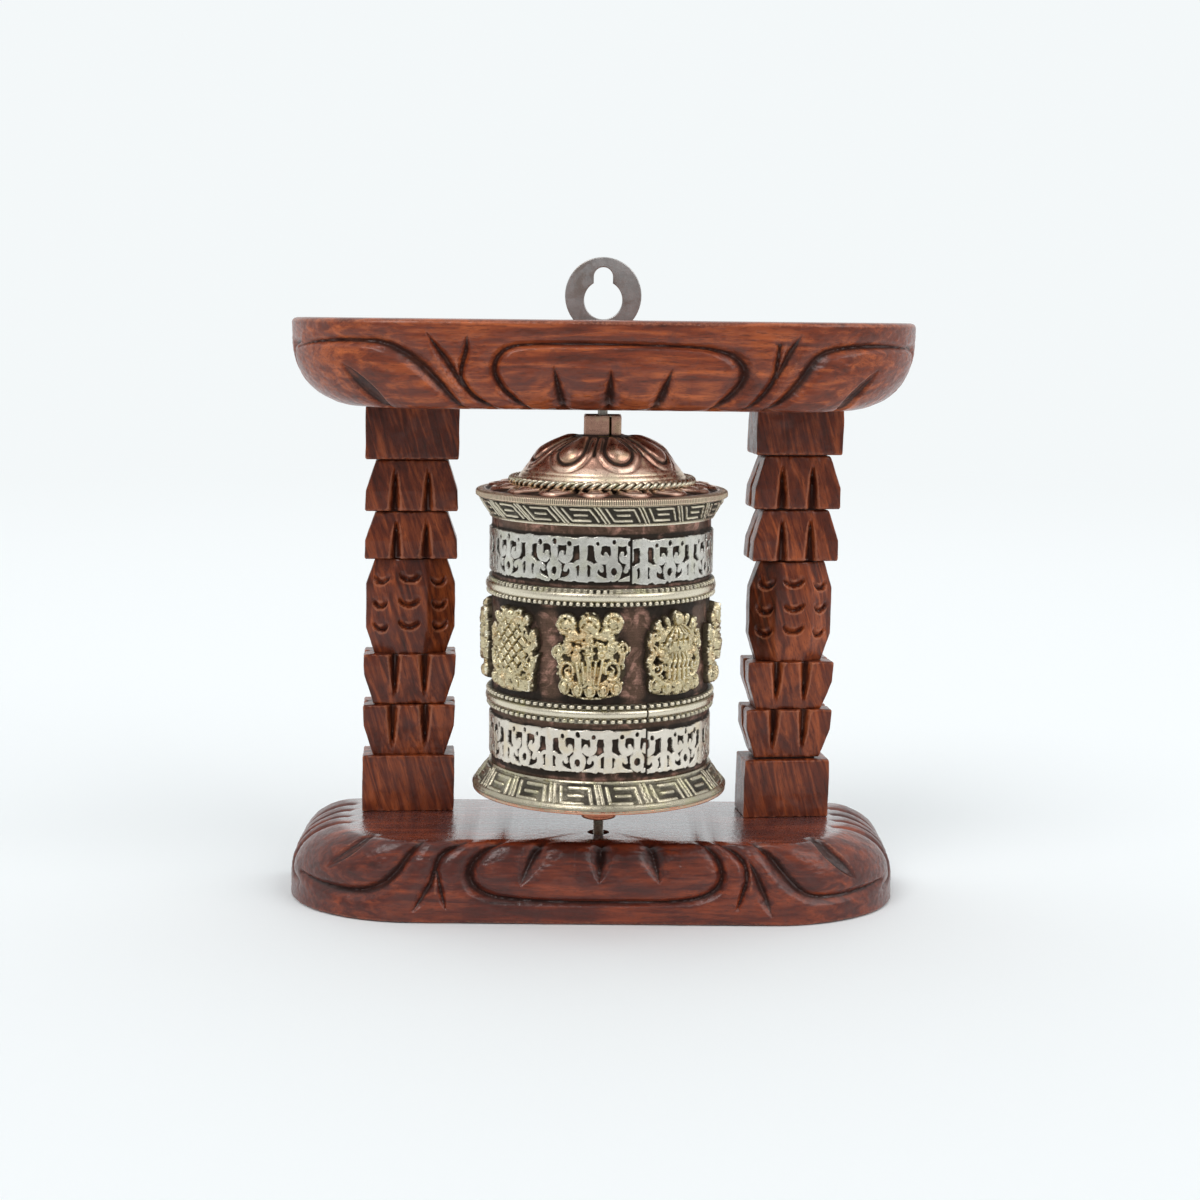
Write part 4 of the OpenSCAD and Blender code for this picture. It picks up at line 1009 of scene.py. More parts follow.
# the lower pivot: a pan-head machine screw, M3 by 0.5
geo = Geo()
n = 60
th = around(n)
zs = np.concatenate([np.arange(3.0, 31.9, 0.078)])
ZZ, TT = np.meshgrid(zs, th)
phase = (ZZ / 0.5 + TT / TAU) % 1.0
tri = 1 - 2 * np.abs(phase - 0.5)
RR = 1.475 - 0.30 * (1 - np.clip(tri * 1.25, 0, 1))
# Painted shade in the thread's valleys.
geo.grid(polar(TT, RR, ZZ), cu=True, cav=np.clip(1 - tri * 1.3, 0, 1) * 0.5, edge=sm(0.75, 1.0, tri))
tail = [(1.3, 31.9), (1.25, 32.3), (1.05, 32.7), (0.6, 33.05), (0.02, 33.1)]
geo.grid(polar(th[:, None], np.array([1.475 - 0.3 + 0.0] + [p[0] for p in tail[1:]])[None] * 1.0, np.array([p[1] for p in tail])[None]), cu=True)
rr = np.array([1.475, 2.0, 2.5, 2.7, 2.75, 2.75, 2.7, 2.5, 2.1, 1.5, 0.9, 0.5, 0.2])
hz = np.array([3.0, 3.0, 3.0, 2.93, 2.75, 1.9, 1.5, 1.15, 0.92, 0.82, 0.8, 0.8, 0.8])
TT2, R2 = np.meshgrid(th, rr, indexing="ij")
HZ = np.broadcast_to(hz[None], R2.shape).copy()
xx, yy = R2 * np.cos(TT2), R2 * np.sin(TT2)
slotd = sm(0.14, -0.02, np.abs(xx) - 0.38) * 0.9 * (HZ < 1.3)
# Painted shade in the slot.
geo.grid(polar(TT2, R2, HZ + slotd), cu=True, flip=False, cav=np.clip(slotd, 0, 1))
geo.fan(polar(th, rr[-1], HZ[:, -1] + slotd[:, -1]), (0, 0, 1.5), flip=True)
geo.make("bottom_pivot_machine_screw", "frame", ["bottom_pivot_screw"], "pivot_steel", PIVOT, 50)


def curve_piece(name, loops, thick, bevel, to_world, res=3):
    """A flat plate with holes, from closed loops of (x, y), with rolled edges, as a mesh in metres."""
    cu = bpy.data.curves.new(name, "CURVE")
    cu.dimensions = "2D"
    cu.fill_mode = "BOTH"
    cu.extrude = (thick / 2 - bevel) * MM
    cu.bevel_depth = bevel * MM
    cu.bevel_resolution = res
    cu.offset = -bevel * MM
    for loop in loops:
        sp = cu.splines.new("POLY")
        sp.points.add(len(loop) - 1)
        sp.points.foreach_set("co", np.column_stack([np.asarray(loop) * MM, np.zeros(len(loop)), np.ones(len(loop))]).ravel())
        sp.use_cyclic_u = True
    tmp = bpy.data.objects.new(name + "_tmp", cu)
    bpy.context.scene.collection.objects.link(tmp)
    bpy.context.view_layer.update()
    me = bpy.data.meshes.new_from_object(tmp.evaluated_get(bpy.context.evaluated_depsgraph_get()))
    bpy.data.objects.remove(tmp)
    co = np.zeros(len(me.vertices) * 3)
    me.vertices.foreach_get("co", co)
    me.vertices.foreach_set("co", to_world(co.reshape(-1, 3)).astype(np.float32).ravel())
    me.update()
    return me


def arc(cx, cz, r, a0, a1, n):
    a = np.radians(np.linspace(a0, a1, n))
    return np.stack([cx + r * np.cos(a), cz + r * np.sin(a)], 1)


# plate outline: round head, tab with slightly hollow shoulders, round foot
head = arc(0, 168.6, 10.85, -48, 228, 90)
foot = arc(0, 152.8, 10.1, 180, 360, 60)
shoulder_l = np.array([[-8.6, 159.6], [-9.6, 158.2], [-10.1, 156.0]])
plate_loop = np.vstack([head, shoulder_l, foot, shoulder_l[::-1] * np.array([-1, 1])])
# keyhole: a round hole with a slot rising from it
hole = arc(0, 167.4, 5.4, 90 + 30, 360 + 90 - 30, 60)
slot_top = arc(0, 173.9, 2.7, 0, 180, 24)
key_loop = np.vstack([hole, slot_top])
holes = [arc(0, z, 2.78, 0, 360, 49)[:-1] for z in (156.8, 147.8)]


def plate_world(co):
    return np.stack([co[:, 0], 36.9 * MM + co[:, 2], co[:, 1] - 0.02 * MM], 1)


me = curve_piece("hanger_plate_pressed", [plate_loop, key_loop] + holes, 1.2, 0.28, plate_world)
co = np.zeros(len(me.vertices) * 3)
me.vertices.foreach_get("co", co)
co = co.reshape(-1, 3) / MM
for n_, v_ in (("cav", np.clip(0.18 + 0.3 * fbm(co[:, 0] / 3, co[:, 2] / 3, 1.0, 3, 4), 0, 0.6)), ("edge", sm(0.35, 0.6, np.abs(co[:, 1] - 36.9)) * 0.3)):
    me.attributes.new(n_, "FLOAT", "POINT").data.foreach_set("value", v_.astype(np.float32))
me.set_sharp_from_angle(angle=math.radians(30))
me.materials.append(STEEL)
plate = bpy.data.objects.new("hanger_plate_pressed", me)
bpy.context.scene.collection.objects.link(plate)
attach(plate, "frame")
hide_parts("hanger_plate")


def shell_of(geo, F, back, keep, cav, edge, cu=False, back_cav=1.0):
    """The kept cells of a relief surface, a back behind them, and walls between the two. The back and walls are painted
    fully dark as shade.
    """
    geo.grid(F, cu=cu, mask=keep, cav=cav, edge=edge)
    geo.grid(back, cu=cu, flip=True, mask=keep, cav=back_cav)
    nu = F.shape[0]
    nxt = (lambda i: (i + 1) % nu) if cu else (lambda i: i + 1)
    cell = keep[:, :-1] & keep[:, 1:]
    cell = cell & np.roll(cell, -1, 0) if cu else cell[:-1] & cell[1:]
    n_, m_ = cell.shape
    P = np.zeros((n_ + 2, m_ + 2), bool)
    P[1:-1, 1:-1] = cell
    if cu:
        P[0, 1:-1], P[-1, 1:-1] = cell[-1], cell[0]
    walls = []
    for name_ in ("west", "east", "south", "north"):
        nb = {"west": P[:-2, 1:-1], "east": P[2:, 1:-1], "south": P[1:-1, :-2], "north": P[1:-1, 2:]}[name_]
        ii, jj = np.where(cell & ~nb)
        i2 = nxt(ii)
        if name_ == "west":
            w = (F[ii, jj], F[ii, jj + 1], back[ii, jj + 1], back[ii, jj])
        elif name_ == "east":
            w = (F[i2, jj + 1], F[i2, jj], back[i2, jj], back[i2, jj + 1])
        elif name_ == "south":
            w = (F[i2, jj], F[ii, jj], back[ii, jj], back[i2, jj])
        else:
            w = (F[ii, jj + 1], F[i2, jj + 1], back[i2, jj + 1], back[ii, jj + 1])
        w = np.stack(w, 1)
        if len(w):
            # Walls painted fully dark as shade.
            kv = geo._points(w, 1.0, 0.0) + np.arange(len(w) * 4).reshape(-1, 4)
            geo.Q.append(kv[:, ::-1])
            geo.SQ.append(np.ones(len(kv), bool))



# ------------------------------------------------------------------ the drum

def wobble(th, z, amp, seed, k=2.0):
    """Small dents of hand-beaten sheet, seamless round the drum."""
    return amp * fbm(np.sin(th) * k, np.cos(th) * k, z / 9.0, 3, seed)


BARREL_R = 29.6

# barrel: a rolled copper sheet, with painted shade beside what is soldered on it and behind the pierced bands
geo = Geo()
n = 480
zs = np.concatenate([[36.42, 36.5], np.linspace(36.8, 114.9, 146), [115.2, 115.28]])
PLAQUE_A = np.radians(-5 + 45 * np.arange(8))


# Painted shade: darker beside the plaques, along the bands' edges and behind the pierced bands.
def barrel_painted_shade(th, z):
    gap = np.minimum.reduce([np.abs((th - a + PI) % TAU - PI) for a in PLAQUE_A]) * BARREL_R
    blot = vnoise(np.sin(th) * 6, np.cos(th) * 6, z / 5.0, 3)
    near = np.exp(-np.clip(gap - 9.0 + 1.6 * sm(80, 86, z) + 1.2 * sm(70, 66, z) - 1.6 * blot, 0, 9) / 1.3) * sm(62.5, 64.5, z) * sm(90, 88.4, z)
    rims = sum(np.exp(-np.abs(z - c + 0.5 * blot) / 1.0) for c in (57.4, 64.4, 88.2, 94.2, 107.6, 43.8))
    band = sm(44.0, 44.6, z) * sm(57.2, 56.6, z) + sm(94.4, 94.8, z) * sm(107.8, 107.2, z)
    hollow = vnoise(np.sin(th) * 14, np.cos(th) * 14, z / 3.0, 8)
    return np.clip(0.62 * near + 0.55 * rims + band * (0.78 - 0.55 * np.clip(hollow * 1.5 - 0.2, 0, 1)), 0, 1)


th, Z = np.meshgrid(around(n), zs, indexing="ij")
R = BARREL_R + wobble(th, Z, 0.07, 41) - 0.07
seam = np.radians(-16) + 0.0 * Z
R = R + 0.12 * sm(0.006, -0.006, np.abs((th - seam + PI) % TAU - PI) - 0.05) * (Z > 107.0)
geo.grid(polar(th, R, Z), cu=True, cav=barrel_painted_shade(th, Z) + 0.12 * np.clip(vnoise(np.sin(th) * 6, np.cos(th) * 6, Z / 4.0, 12), 0, 1), edge=0.0)
ti = around(n)[:, None]
geo.grid(polar(ti, np.array([[28.8, 28.8, 28.8]]), np.array([[36.42, 75.0, 115.28]])), cu=True, flip=True, cav=0.3)
for j, z, fl in ((0, 36.42, True), (-1, 115.28, False)):
    geo.grid(np.stack([polar(around(n), R[:, j], z), polar(around(n), 28.8, z)], 1), cu=True, flip=fl, cav=0.4)
geo.make("barrel_sheet", "wheel", ["barrel"], "dark_copper", DARKCU, 60)

# bottom plate and its boss
geo = Geo()
prof = rounded([(3.0, 36.35), (3.0, 35.42), (16, 35.42), (30, 35.42), (34.55, 35.42), (34.6, 35.9), (34.5, 36.38), (30, 36.4), (16, 36.4), (3.0, 36.38)], 0.25)
prof = resample(prof, 0.6)
th, R = np.meshgrid(around(360), prof[:, 0], indexing="ij")
Z = np.broadcast_to(prof[:, 1][None], R.shape)
rings = 0.05 * np.cos(R * 2.6) * (R < 33) * (Z < 35.7)
Zd = np.clip(Z + rings * 0.6 + wobble(th, R, 0.05, 8, 3) * (Z < 35.7) + 0.04 * (Z < 35.7), 35.4, 36.4)
# Painted shade darkens the plate round the boss.
geo.grid(polar(th, R, Zd), cu=True, cv=True, flip=True, cav=0.15 + 0.35 * sm(9, 5, R) + 0.2 * np.clip(vnoise(R * np.sin(th) / 5, R * np.cos(th) / 5, 0, 3), 0, 1), edge=1.6 * sm(34.3, 34.55, R) * sm(35.55, 35.75, Z))
geo.make("bottom_plate_disc", "wheel", ["bottom_plate"], "copper", COPPER2, 45)

geo = Geo()
prof = [(3.0, 35.38), (3.0, 30.0), (3.0, 26.45), (3.35, 26.4), (4.3, 26.4), (4.7, 26.55), (4.85, 26.9), (4.78, 27.3), (4.7, 27.6), (4.72, 29.0), (4.75, 31.0), (4.78, 32.9), (4.86, 33.3), (4.92, 33.6), (4.86, 33.95), (4.8, 34.3), (4.84, 34.8), (4.95, 35.38)]
prof = resample(prof, 0.25)
th, R = np.meshgrid(around(160), prof[:, 0], indexing="ij")
Z = np.broadcast_to(prof[:, 1][None], R.shape)
seam = np.exp(-(((th - 2.6 + PI) % TAU - PI) / 0.03) ** 2) * (R > 4)
R2 = R + wobble(th, Z, 0.05, 77, 1.5) * (R > 4) - 0.12 * seam
# Painted shade in the groove at z 33.1 and where the boss meets the plate; the seam is a dark joint.
geo.grid(polar(th, np.minimum(R2, 4.95), Z), cu=True, cav=np.clip(seam + 0.5 * np.exp(-np.abs(Z - 33.1) / 0.25) * (R > 4) + 0.5 * sm(34.6, 35.3, Z) + 0.25 * (R < 3.2), 0, 1), edge=0.5 * np.exp(-np.abs(Z - 33.6) / 0.2))
geo.grid(polar(around(160)[:, None], np.array([[4.95, 3.0]]), np.array([[35.38, 35.38]])), cu=True)
geo.make("bottom_boss_tube", "wheel", ["bottom_boss"], "copper", COPPER2, 45)

# square collar: one copper strip folded round, its ends meeting on the front
geo = Geo()
h = 5.05


def collar_path():
    r = 0.85
    pts = [(1.72, -h)]
    pts += [(x, -h) for x in np.linspace(1.4, -h + r, 22)]
    for cx, cy, a0 in ((-h + r, -h + r, 270), (-h + r, h - r, 180), (h - r, h - r, 90), (h - r, -h + r, 360)):
        a1 = a0 - 90
        for a in np.linspace(a0, a1, 9):
            pts.append((cx + r * math.cos(math.radians(a)), cy + r * math.sin(math.radians(a))))
        if a0 == 270:
            pts += [(-h, y) for y in np.linspace(-h + r + 0.4, h - r - 0.4, 20)]
        elif a0 == 180:
            pts += [(x, h) for x in np.linspace(-h + r + 0.4, h - r - 0.4, 20)]
        elif a0 == 90:
            pts += [(h, y) for y in np.linspace(h - r - 0.4, -h + r + 0.4, 20)]
    pts += [(x, -h + 0.05 + 0.22 * (3.6 - x) / 1.2) for x in np.linspace(3.9, 2.36, 10)]
    return np.array(pts)


path = collar_path()
tan = np.gradient(path, axis=0)
tan /= np.linalg.norm(tan, axis=1, keepdims=True)
nout = np.stack([tan[:, 1], -tan[:, 0]], 1)
if (nout[5] @ np.array([0, -1])) < 0:
    nout = -nout
wall = 0.62
prof = [(0.0, 131.32), (0.0, 131.6)] + [(0.0, z) for z in np.linspace(132.0, 136.2, 14)] + [(-0.03, 136.6), (-0.12, 136.76), (-0.3, 136.8), (-0.5, 136.74), (-wall, 136.55)] + [(-wall, z) for z in np.linspace(136.0, 131.6, 8)] + [(-wall, 131.32)]
off = np.array([p[0] for p in prof])
zz = np.array([p[1] for p in prof])
P = path[:, None, :] + nout[:, None, :] * off[None, :, None]
Z = np.broadcast_to(zz[None], P.shape[:2])
d = 0.07 * fbm(P[..., 0] / 2, P[..., 1] / 2, Z / 2, 3, 55) * (off[None] > -0.2) - 0.05
P = P + nout[:, None, :] * d[..., None]
P = np.clip(P, -5.05, 5.05)
W = np.concatenate([P, Z[..., None]], -1)
s_ = np.concatenate([[0], np.cumsum(np.linalg.norm(np.diff(path, axis=0), axis=1))])
enda = np.exp(-s_ / 0.25) + np.exp(-(s_[-1] - s_) / 0.25)
crn = np.linalg.norm(np.gradient(tan, axis=0), axis=1)
# Painted shade along the collar's foot against the dome.
geo.grid(W, cv=True, flip=True, cav=np.clip(0.9 * sm(132.4, 131.3, Z) + 0.3 * enda[:, None] + (off[None] < -0.4) * 0.5, 0, 1), edge=np.clip(crn[:, None] * 2.5 + (off[None] < -0.02) * (off[None] > -0.4) * 0.8, 0, 1))
for k, fl in ((0, True), (-1, False)):
    ring_ = W[k]
    geo.fan(ring_, ring_.mean(0), flip=not fl, cav=0.7, smooth=False)
geo.make("top_collar_folded", "wheel", ["top_collar"], "copper", COPPER, 45)

# dome: eight beaten petals round it
DOME = np.array([(6.2, 131.3), (7.3, 131.3), (9.4, 130.9), (12.9, 129.7), (15.8, 128.3), (17.6, 126.9), (19.4, 124.5), (21.3, 122.1), (22.4, 120.6), (22.9, 119.2), (22.9, 117.0)])
dp = catmull(DOME[1:], 12)
dp = np.vstack([[4.3, 131.25], [5.5, 131.3], dp])
sd = np.concatenate([[0], np.cumsum(np.linalg.norm(np.diff(dp, axis=0), axis=1))])
nr = 108
ss = np.linspace(0, sd[-1], nr)
dr_, dz_ = np.interp(ss, sd, dp[:, 0]), np.interp(ss, sd, dp[:, 1])
s7 = np.interp(7.3, dp[:, 0], sd)
th, S = np.meshgrid(around(720), ss - s7, indexing="ij")
R = np.broadcast_to(dr_[None], th.shape)
Z = np.broadcast_to(dz_[None], th.shape)
unit = TAU / 8
a = (th - np.radians(15) + unit / 2) % unit - unit / 2
kk = np.round((th - np.radians(15) - a) / unit)
wig = 0.25 * np.sin(kk * 2.1)
X = a * R + wig * 0.5
tear = catmull(np.array([(0, 0.2, 1.0), (0, 3.6, 2.9), (0, 6.6, 4.9), (0, 9.2, 6.6), (0, 10.1, 6.8)]), 8)
dT, hT, _ = stroke_field(X, S - wig * 0.6, tear)
boss = 0.85 * np.sqrt(np.clip(-dT / np.maximum(hT, 0.4), 0, 1)) * sm(-1.0, 4.0, S)
moat = np.exp(-((dT - 0.40) / 0.46) ** 2)
lip = np.exp(-((dT - 1.75) / 0.72) ** 2)
outer = np.exp(-((dT - 3.1) / 0.42) ** 2) * sm(4, 8, S)
mid_ = unit / 2 - np.abs(a)
xm = mid_ * R
sep_ = np.exp(-(xm / 0.34) ** 2) * sm(12.4, 10.6, S + 0.6 * xm) * sm(-0.5, 1.0, S)
sep2 = np.exp(-((xm - 1.15 - 0.05 * S) / 0.3) ** 2) * sm(11.6, 9.0, S) * sm(0.5, 3.0, S)
flat = sm(17.4, 15.8, S) * sm(-0.3, 0.6, S)
d = flat * (boss - 0.62 * moat * sm(0.0, 1.5, S) + 0.15 * lip * sm(2.0, 6.0, S) - 0.22 * outer - 0.5 * sep_ - 0.28 * sep2)
d = d + wobble(th, S, 0.10, 66, 5) - 0.05 - 0.12 * (np.exp(-((S - 17.6) / 0.22) ** 2) + np.exp(-((S - 19.0) / 0.2) ** 2))
Pd = polar(th, R, Z)
Nd = normals(Pd, cu=True)
if Nd[0, 60] @ np.array([0, -1, 0]) < 0:
    Nd = -Nd
Pd = Pd + Nd * d[..., None]
rad = np.hypot(Pd[..., 0], Pd[..., 1])
# Painted shade next to the collar and at the foot by the wire; the chased moat and grooves darkened with tarnish and
# painted shade.
cavd = np.clip(flat * (1.25 * moat * sm(0.0, 2.0, S) + 1.1 * sep_ + 0.8 * sep2 + 0.5 * outer) + 0.8 * sm(2.2, 0.2, S) + 0.95 * sm(19.6, 21.2, S), 0, 1)
# Wear on the bosses and lip, and a painted highlight in the pale rim colour on the foot band (S 13.6 to 18).
dome_wear_and_highlight = np.clip(flat * (sm(0.5, 0.85, boss) + 0.5 * lip * sm(2, 6, S)), 0, 1) + 1.55 * sm(13.6, 18.0, S)
geo = Geo()
geo.grid(Pd, cu=True, flip=True, cav=cavd, edge=dome_wear_and_highlight)
Pi = polar(th[::6], np.maximum(R[::6] - 0.75, 4.3), np.minimum(Z[::6] - 0.75, 130.4))
Pi[:, -1, 2] = 117.0
geo.grid(Pi, cu=True, flip=False, cav=0.6)
geo.make("dome_cap_repousse", "wheel", ["dome_cap"], "copper", COPPER, 60)

# flange: small petals on its slope and a knurled rim
FL = rounded(np.array([(22.95, 118.2), (26.2, 118.25), (30.3, 117.8), (31.2, 117.35), (33.3, 117.2), (33.95, 116.75), (34.0, 115.6), (33.7, 115.32), (29.7, 115.3)]), 0.35, 5)
FL = resample(FL, 0.26)
sf = np.concatenate([[0], np.cumsum(np.linalg.norm(np.diff(FL, axis=0), axis=1))])
th, S = np.meshgrid(around(1080), sf, indexing="ij")
R = np.broadcast_to(FL[:, 0][None], th.shape)
Z = np.broadcast_to(FL[:, 1][None], th.shape)
u16 = TAU / 16
a = (th + u16 * 0.18 + u16 / 2) % u16 - u16 / 2
X = a * 27.5
q = np.sqrt((X / 5.0) ** 2 + ((R - 24.6) / 6.6) ** 2)
inn = np.sqrt((X / 2.3) ** 2 + ((R - 25.4) / 3.9) ** 2)
pet = 0.75 * np.exp(-((q - 0.84) / 0.13) ** 2) + 0.95 * np.sqrt(np.clip(1 - inn ** 2, 0, 1)) - 0.35 * np.exp(-((q - 0.62) / 0.09) ** 2)
vee = np.exp(-((np.abs(a) - u16 / 2) * 27.5 / 0.9) ** 2) * sm(31.6, 30.2, R)
zone = sm(31.6, 31.1, R) * (Z > 117.0)
knurl = (0.5 + 0.5 * np.cos(th * 360)) * sm(31.9, 32.2, R) * sm(115.45, 115.7, Z)
d = zone * (pet - 0.35 * vee - 0.3) - 0.16 * knurl - 0.12 * np.exp(-((R - 31.8) / 0.22) ** 2) * (Z > 117) + wobble(th, S, 0.06, 23, 4) - 0.03
Pf = polar(th, R, Z)
Nf = normals(Pf, cu=True)
if Nf[0, 10] @ np.array([0, 0, 1]) < 0:
    Nf = -Nf
Pf = Pf + Nf * d[..., None]
# Painted shade in the petals' outlines, the knurl's grooves, the groove inside the rim and under the dome's foot.
cavf = np.clip(zone * (0.9 * np.exp(-((q - 0.62) / 0.11) ** 2) + 0.95 * sm(0.95, 1.08, q) + 0.35 * vee) + 0.85 * knurl + 0.5 * np.exp(-((R - 31.8) / 0.28) ** 2) * (Z > 117) + 0.6 * sm(24.5, 23.2, R), 0, 1)
# The rim band takes the pale rim colour, brightened as a painted highlight.
edgef = np.clip(zone * (sm(0.2, 0.5, pet)), 0, 1) + 1.62 * sm(31.7, 32.3, R)
geo = Geo()
geo.grid(Pf, cu=True, flip=True, cav=cavf, edge=edgef)
t6 = around(1080)
geo.grid(np.stack([Pf[:, -1], polar(t6, 28.9, 115.3), polar(t6, 22.3, 115.8), polar(t6, 22.3, 117.9), Pf[:, 0]], 1), cu=True, flip=True, cav=0.5)
geo.make("flange_petals", "wheel", ["flange_plate"], "copper", COPPER, 60)

# the twisted wire at the dome's foot: two strands
geo = Geo()
m_ = 33
for strand in (0, 1):
    t = np.arange(33 * 20) / (33 * 20) * TAU
    ph = t * m_ + strand * PI
    cr = 24.1 + 0.57 * np.cos(ph)
    cz = 119.5 + 0.57 * np.sin(ph)
    C = np.stack([cr * np.sin(t), -cr * np.cos(t), cz], -1)
    T = np.roll(C, -1, 0) - np.roll(C, 1, 0)
    T /= np.linalg.norm(T, axis=1, keepdims=True)
    radial = np.stack([np.sin(t), -np.cos(t), np.zeros_like(t)], -1)
    B1 = np.cross(T, radial)
    B1 /= np.linalg.norm(B1, axis=1, keepdims=True)
    B2 = np.cross(T, B1)
    al = np.arange(12) / 12 * TAU
    P = C[:, None] + 0.6 * (np.cos(al)[None, :, None] * B2[:, None] + np.sin(al)[None, :, None] * B1[:, None])
    dist = np.hypot(np.hypot(P[..., 0], P[..., 1]) - 24.1, P[..., 2] - 119.5)
    # Painted shade where the two strands press together; the crowns lighter with wear.
    geo.grid(P, cu=True, cv=True, cav=sm(0.85, 0.35, dist), edge=sm(0.95, 1.15, dist))
g = geo.make("dome_wire_twisted", "wheel", ["dome_wire"], "white_metal", SILVER, 80)


# key bands
def key_band(name, node, r0, z0, r1, z1, units, seed, worn, lw=0.45, foot=None):
    """A cone from (r0, z0) at its narrow edge to (r1, z1), with a fret of raised lines in dark panels."""
    L = math.hypot(r1 - r0, z1 - z0)
    up = 1 if z1 > z0 else -1
    nv = 46
    v = np.concatenate([[0.0, 0.02], np.linspace(0.05, 0.95, nv), [0.98, 1.0]])
    nu = 1152
    th, V = np.meshgrid(around(nu), v, indexing="ij")
    R, Z = r0 + (r1 - r0) * V, z0 + (z1 - z0) * V
    unit = TAU / units
    height = L
    # q goes up the band, p across one unit; the units lean
    Q = V if up > 0 else 1 - V
    lean = 0.34 if up > 0 else 0.12
    p = (th / unit + lean * (Q - 0.5)) % 1.0
    cell = np.floor(th / unit + lean * (Q - 0.5))
    X = p * 10.0
    Y = Q * 10.0 * (height / (TAU * (r0 + r1) / 2 / units))
    top = Y.max()
    m = 0.13 * top
    f = lambda a, b: (a, m + b * (top - 2 * m))
    lines = [
        [(*f(0.45, 1.02), lw), (*f(0.45, -0.02), lw)],
        [(*f(9.55, 1.02), lw), (*f(9.55, -0.02), lw)],
        [(*f(1.9, 0.92), lw), (*f(1.9, 0.12), lw * 1.1), (*f(6.2, 0.12), lw * 1.1)],
        [(*f(3.8, 0.88), lw * 1.1), (*f(8.1, 0.88), lw * 1.1), (*f(8.1, 0.08), lw)],
        [(*f(3.6, 0.50), lw), (*f(6.4, 0.50), lw)],
    ]
    ridge = np.zeros(th.shape)
    for ln in lines:
        d, h, _ = stroke_field(X, Y, np.array(ln, float))
        ridge = np.maximum(ridge, sm(0.22, -0.12, d))
    jit = 1 - worn * (0.45 + 0.45 * vnoise(np.sin(th) * 4, np.cos(th) * 4, V * 2, seed))
    border = np.maximum(sm(0.085, 0.05, Q) if up > 0 else sm(0.19, 0.15, Q), sm(0.92, 0.955, Q))
    channel = np.maximum(np.exp(-((Q - 0.14) / 0.02) ** 2), np.exp(-((Q - 0.86) / 0.02) ** 2))
    body = ridge * jit
    hgt = -0.62 + 0.55 * np.maximum(body, border * 0.9) - 0.05 * channel
    hgt = hgt + 0.10 * vnoise(np.sin(th) * 22, np.cos(th) * 22, V * 9, seed + 1) * (1 - border) + wobble(th, Z, 0.10, seed + 2, 3)
    hgt = np.minimum(hgt, -0.02)
    P = polar(th, R, Z)
    N = normals(P, cu=True)
    if N[0, 20] @ np.array([0, -1, 0]) < 0:
        N = -N
    P = P + N * hgt[..., None]
    P[:, 0, 2] = z0
    P[:, -1, 2] = z1
    dark = np.clip(1 - np.maximum(ridge, border), 0, 1)
    cav = np.clip(dark * (0.95 - worn * 0.42 * (1 + vnoise(np.sin(th) * 5, np.cos(th) * 5, V * 3, seed + 4))) + 0.2 * channel, 0, 1)
    cav = np.clip(cav * (0.8 if worn > 0.5 else 1.0) + (0.1 * (worn > 0.5)) * (1 + 0.8 * vnoise(np.sin(th) * 6, np.cos(th) * 6, V * 2, seed + 6)), 0, 1)
    edge = np.clip(np.maximum(ridge * 0.9, border * 0.8) * (1 - 0.5 * (worn > 0.5)), 0, 1)
    geo = Geo()
    geo.grid(P, cu=True, flip=up < 0, cav=cav, edge=edge)
    t = around(nu)
    ins = [polar(t, r0 - 0.95 + 0.0, z0 + 0.02 * up), polar(t, (r0 + r1) / 2 - 1.1, (z0 + z1) / 2), polar(t, r1 - 1.1, z1)]
    extra = [] if foot is None else [polar(t, r1, (z1 + foot) / 2), polar(t, r1, foot), polar(t, r1 - 1.1, foot)]
    if foot is None:
        lip = [P[:, -1], ins[2], ins[1], ins[0], P[:, 0]]
    else:
        lip = [P[:, -1], polar(t, r1 - 0.05, z1 - 0.12), polar(t, r1 - 0.04, (z1 + foot) / 2), polar(t, r1 - 0.12, foot), polar(t, r1 - 1.1, foot), ins[1], ins[0], P[:, 0]]
    G3 = np.stack(lip, 1)
    cc = np.full(G3.shape[:2], 0.35)
    cc[:, 0] = cav[:, -1]
    cc[:, -1] = cav[:, 0]
    geo.grid(G3, cu=True, flip=up < 0, cav=cc, edge=0.2)
    return geo


geo = key_band("k", None, 30.25, 109.85, 33.55, 115.28, 18, 5, 0.3, 0.42)
geo.make("upper_key_band_fret", "wheel", ["upper_key_band"], "white_metal", SILVER, 60)
geo = key_band("k", None, 30.25, 43.25, 34.75, 37.1, 16, 9, 0.75, 0.6, foot=36.42)
geo.make("lower_key_band_fret", "wheel", ["lower_key_band"], "white_metal", SILVER, 60)


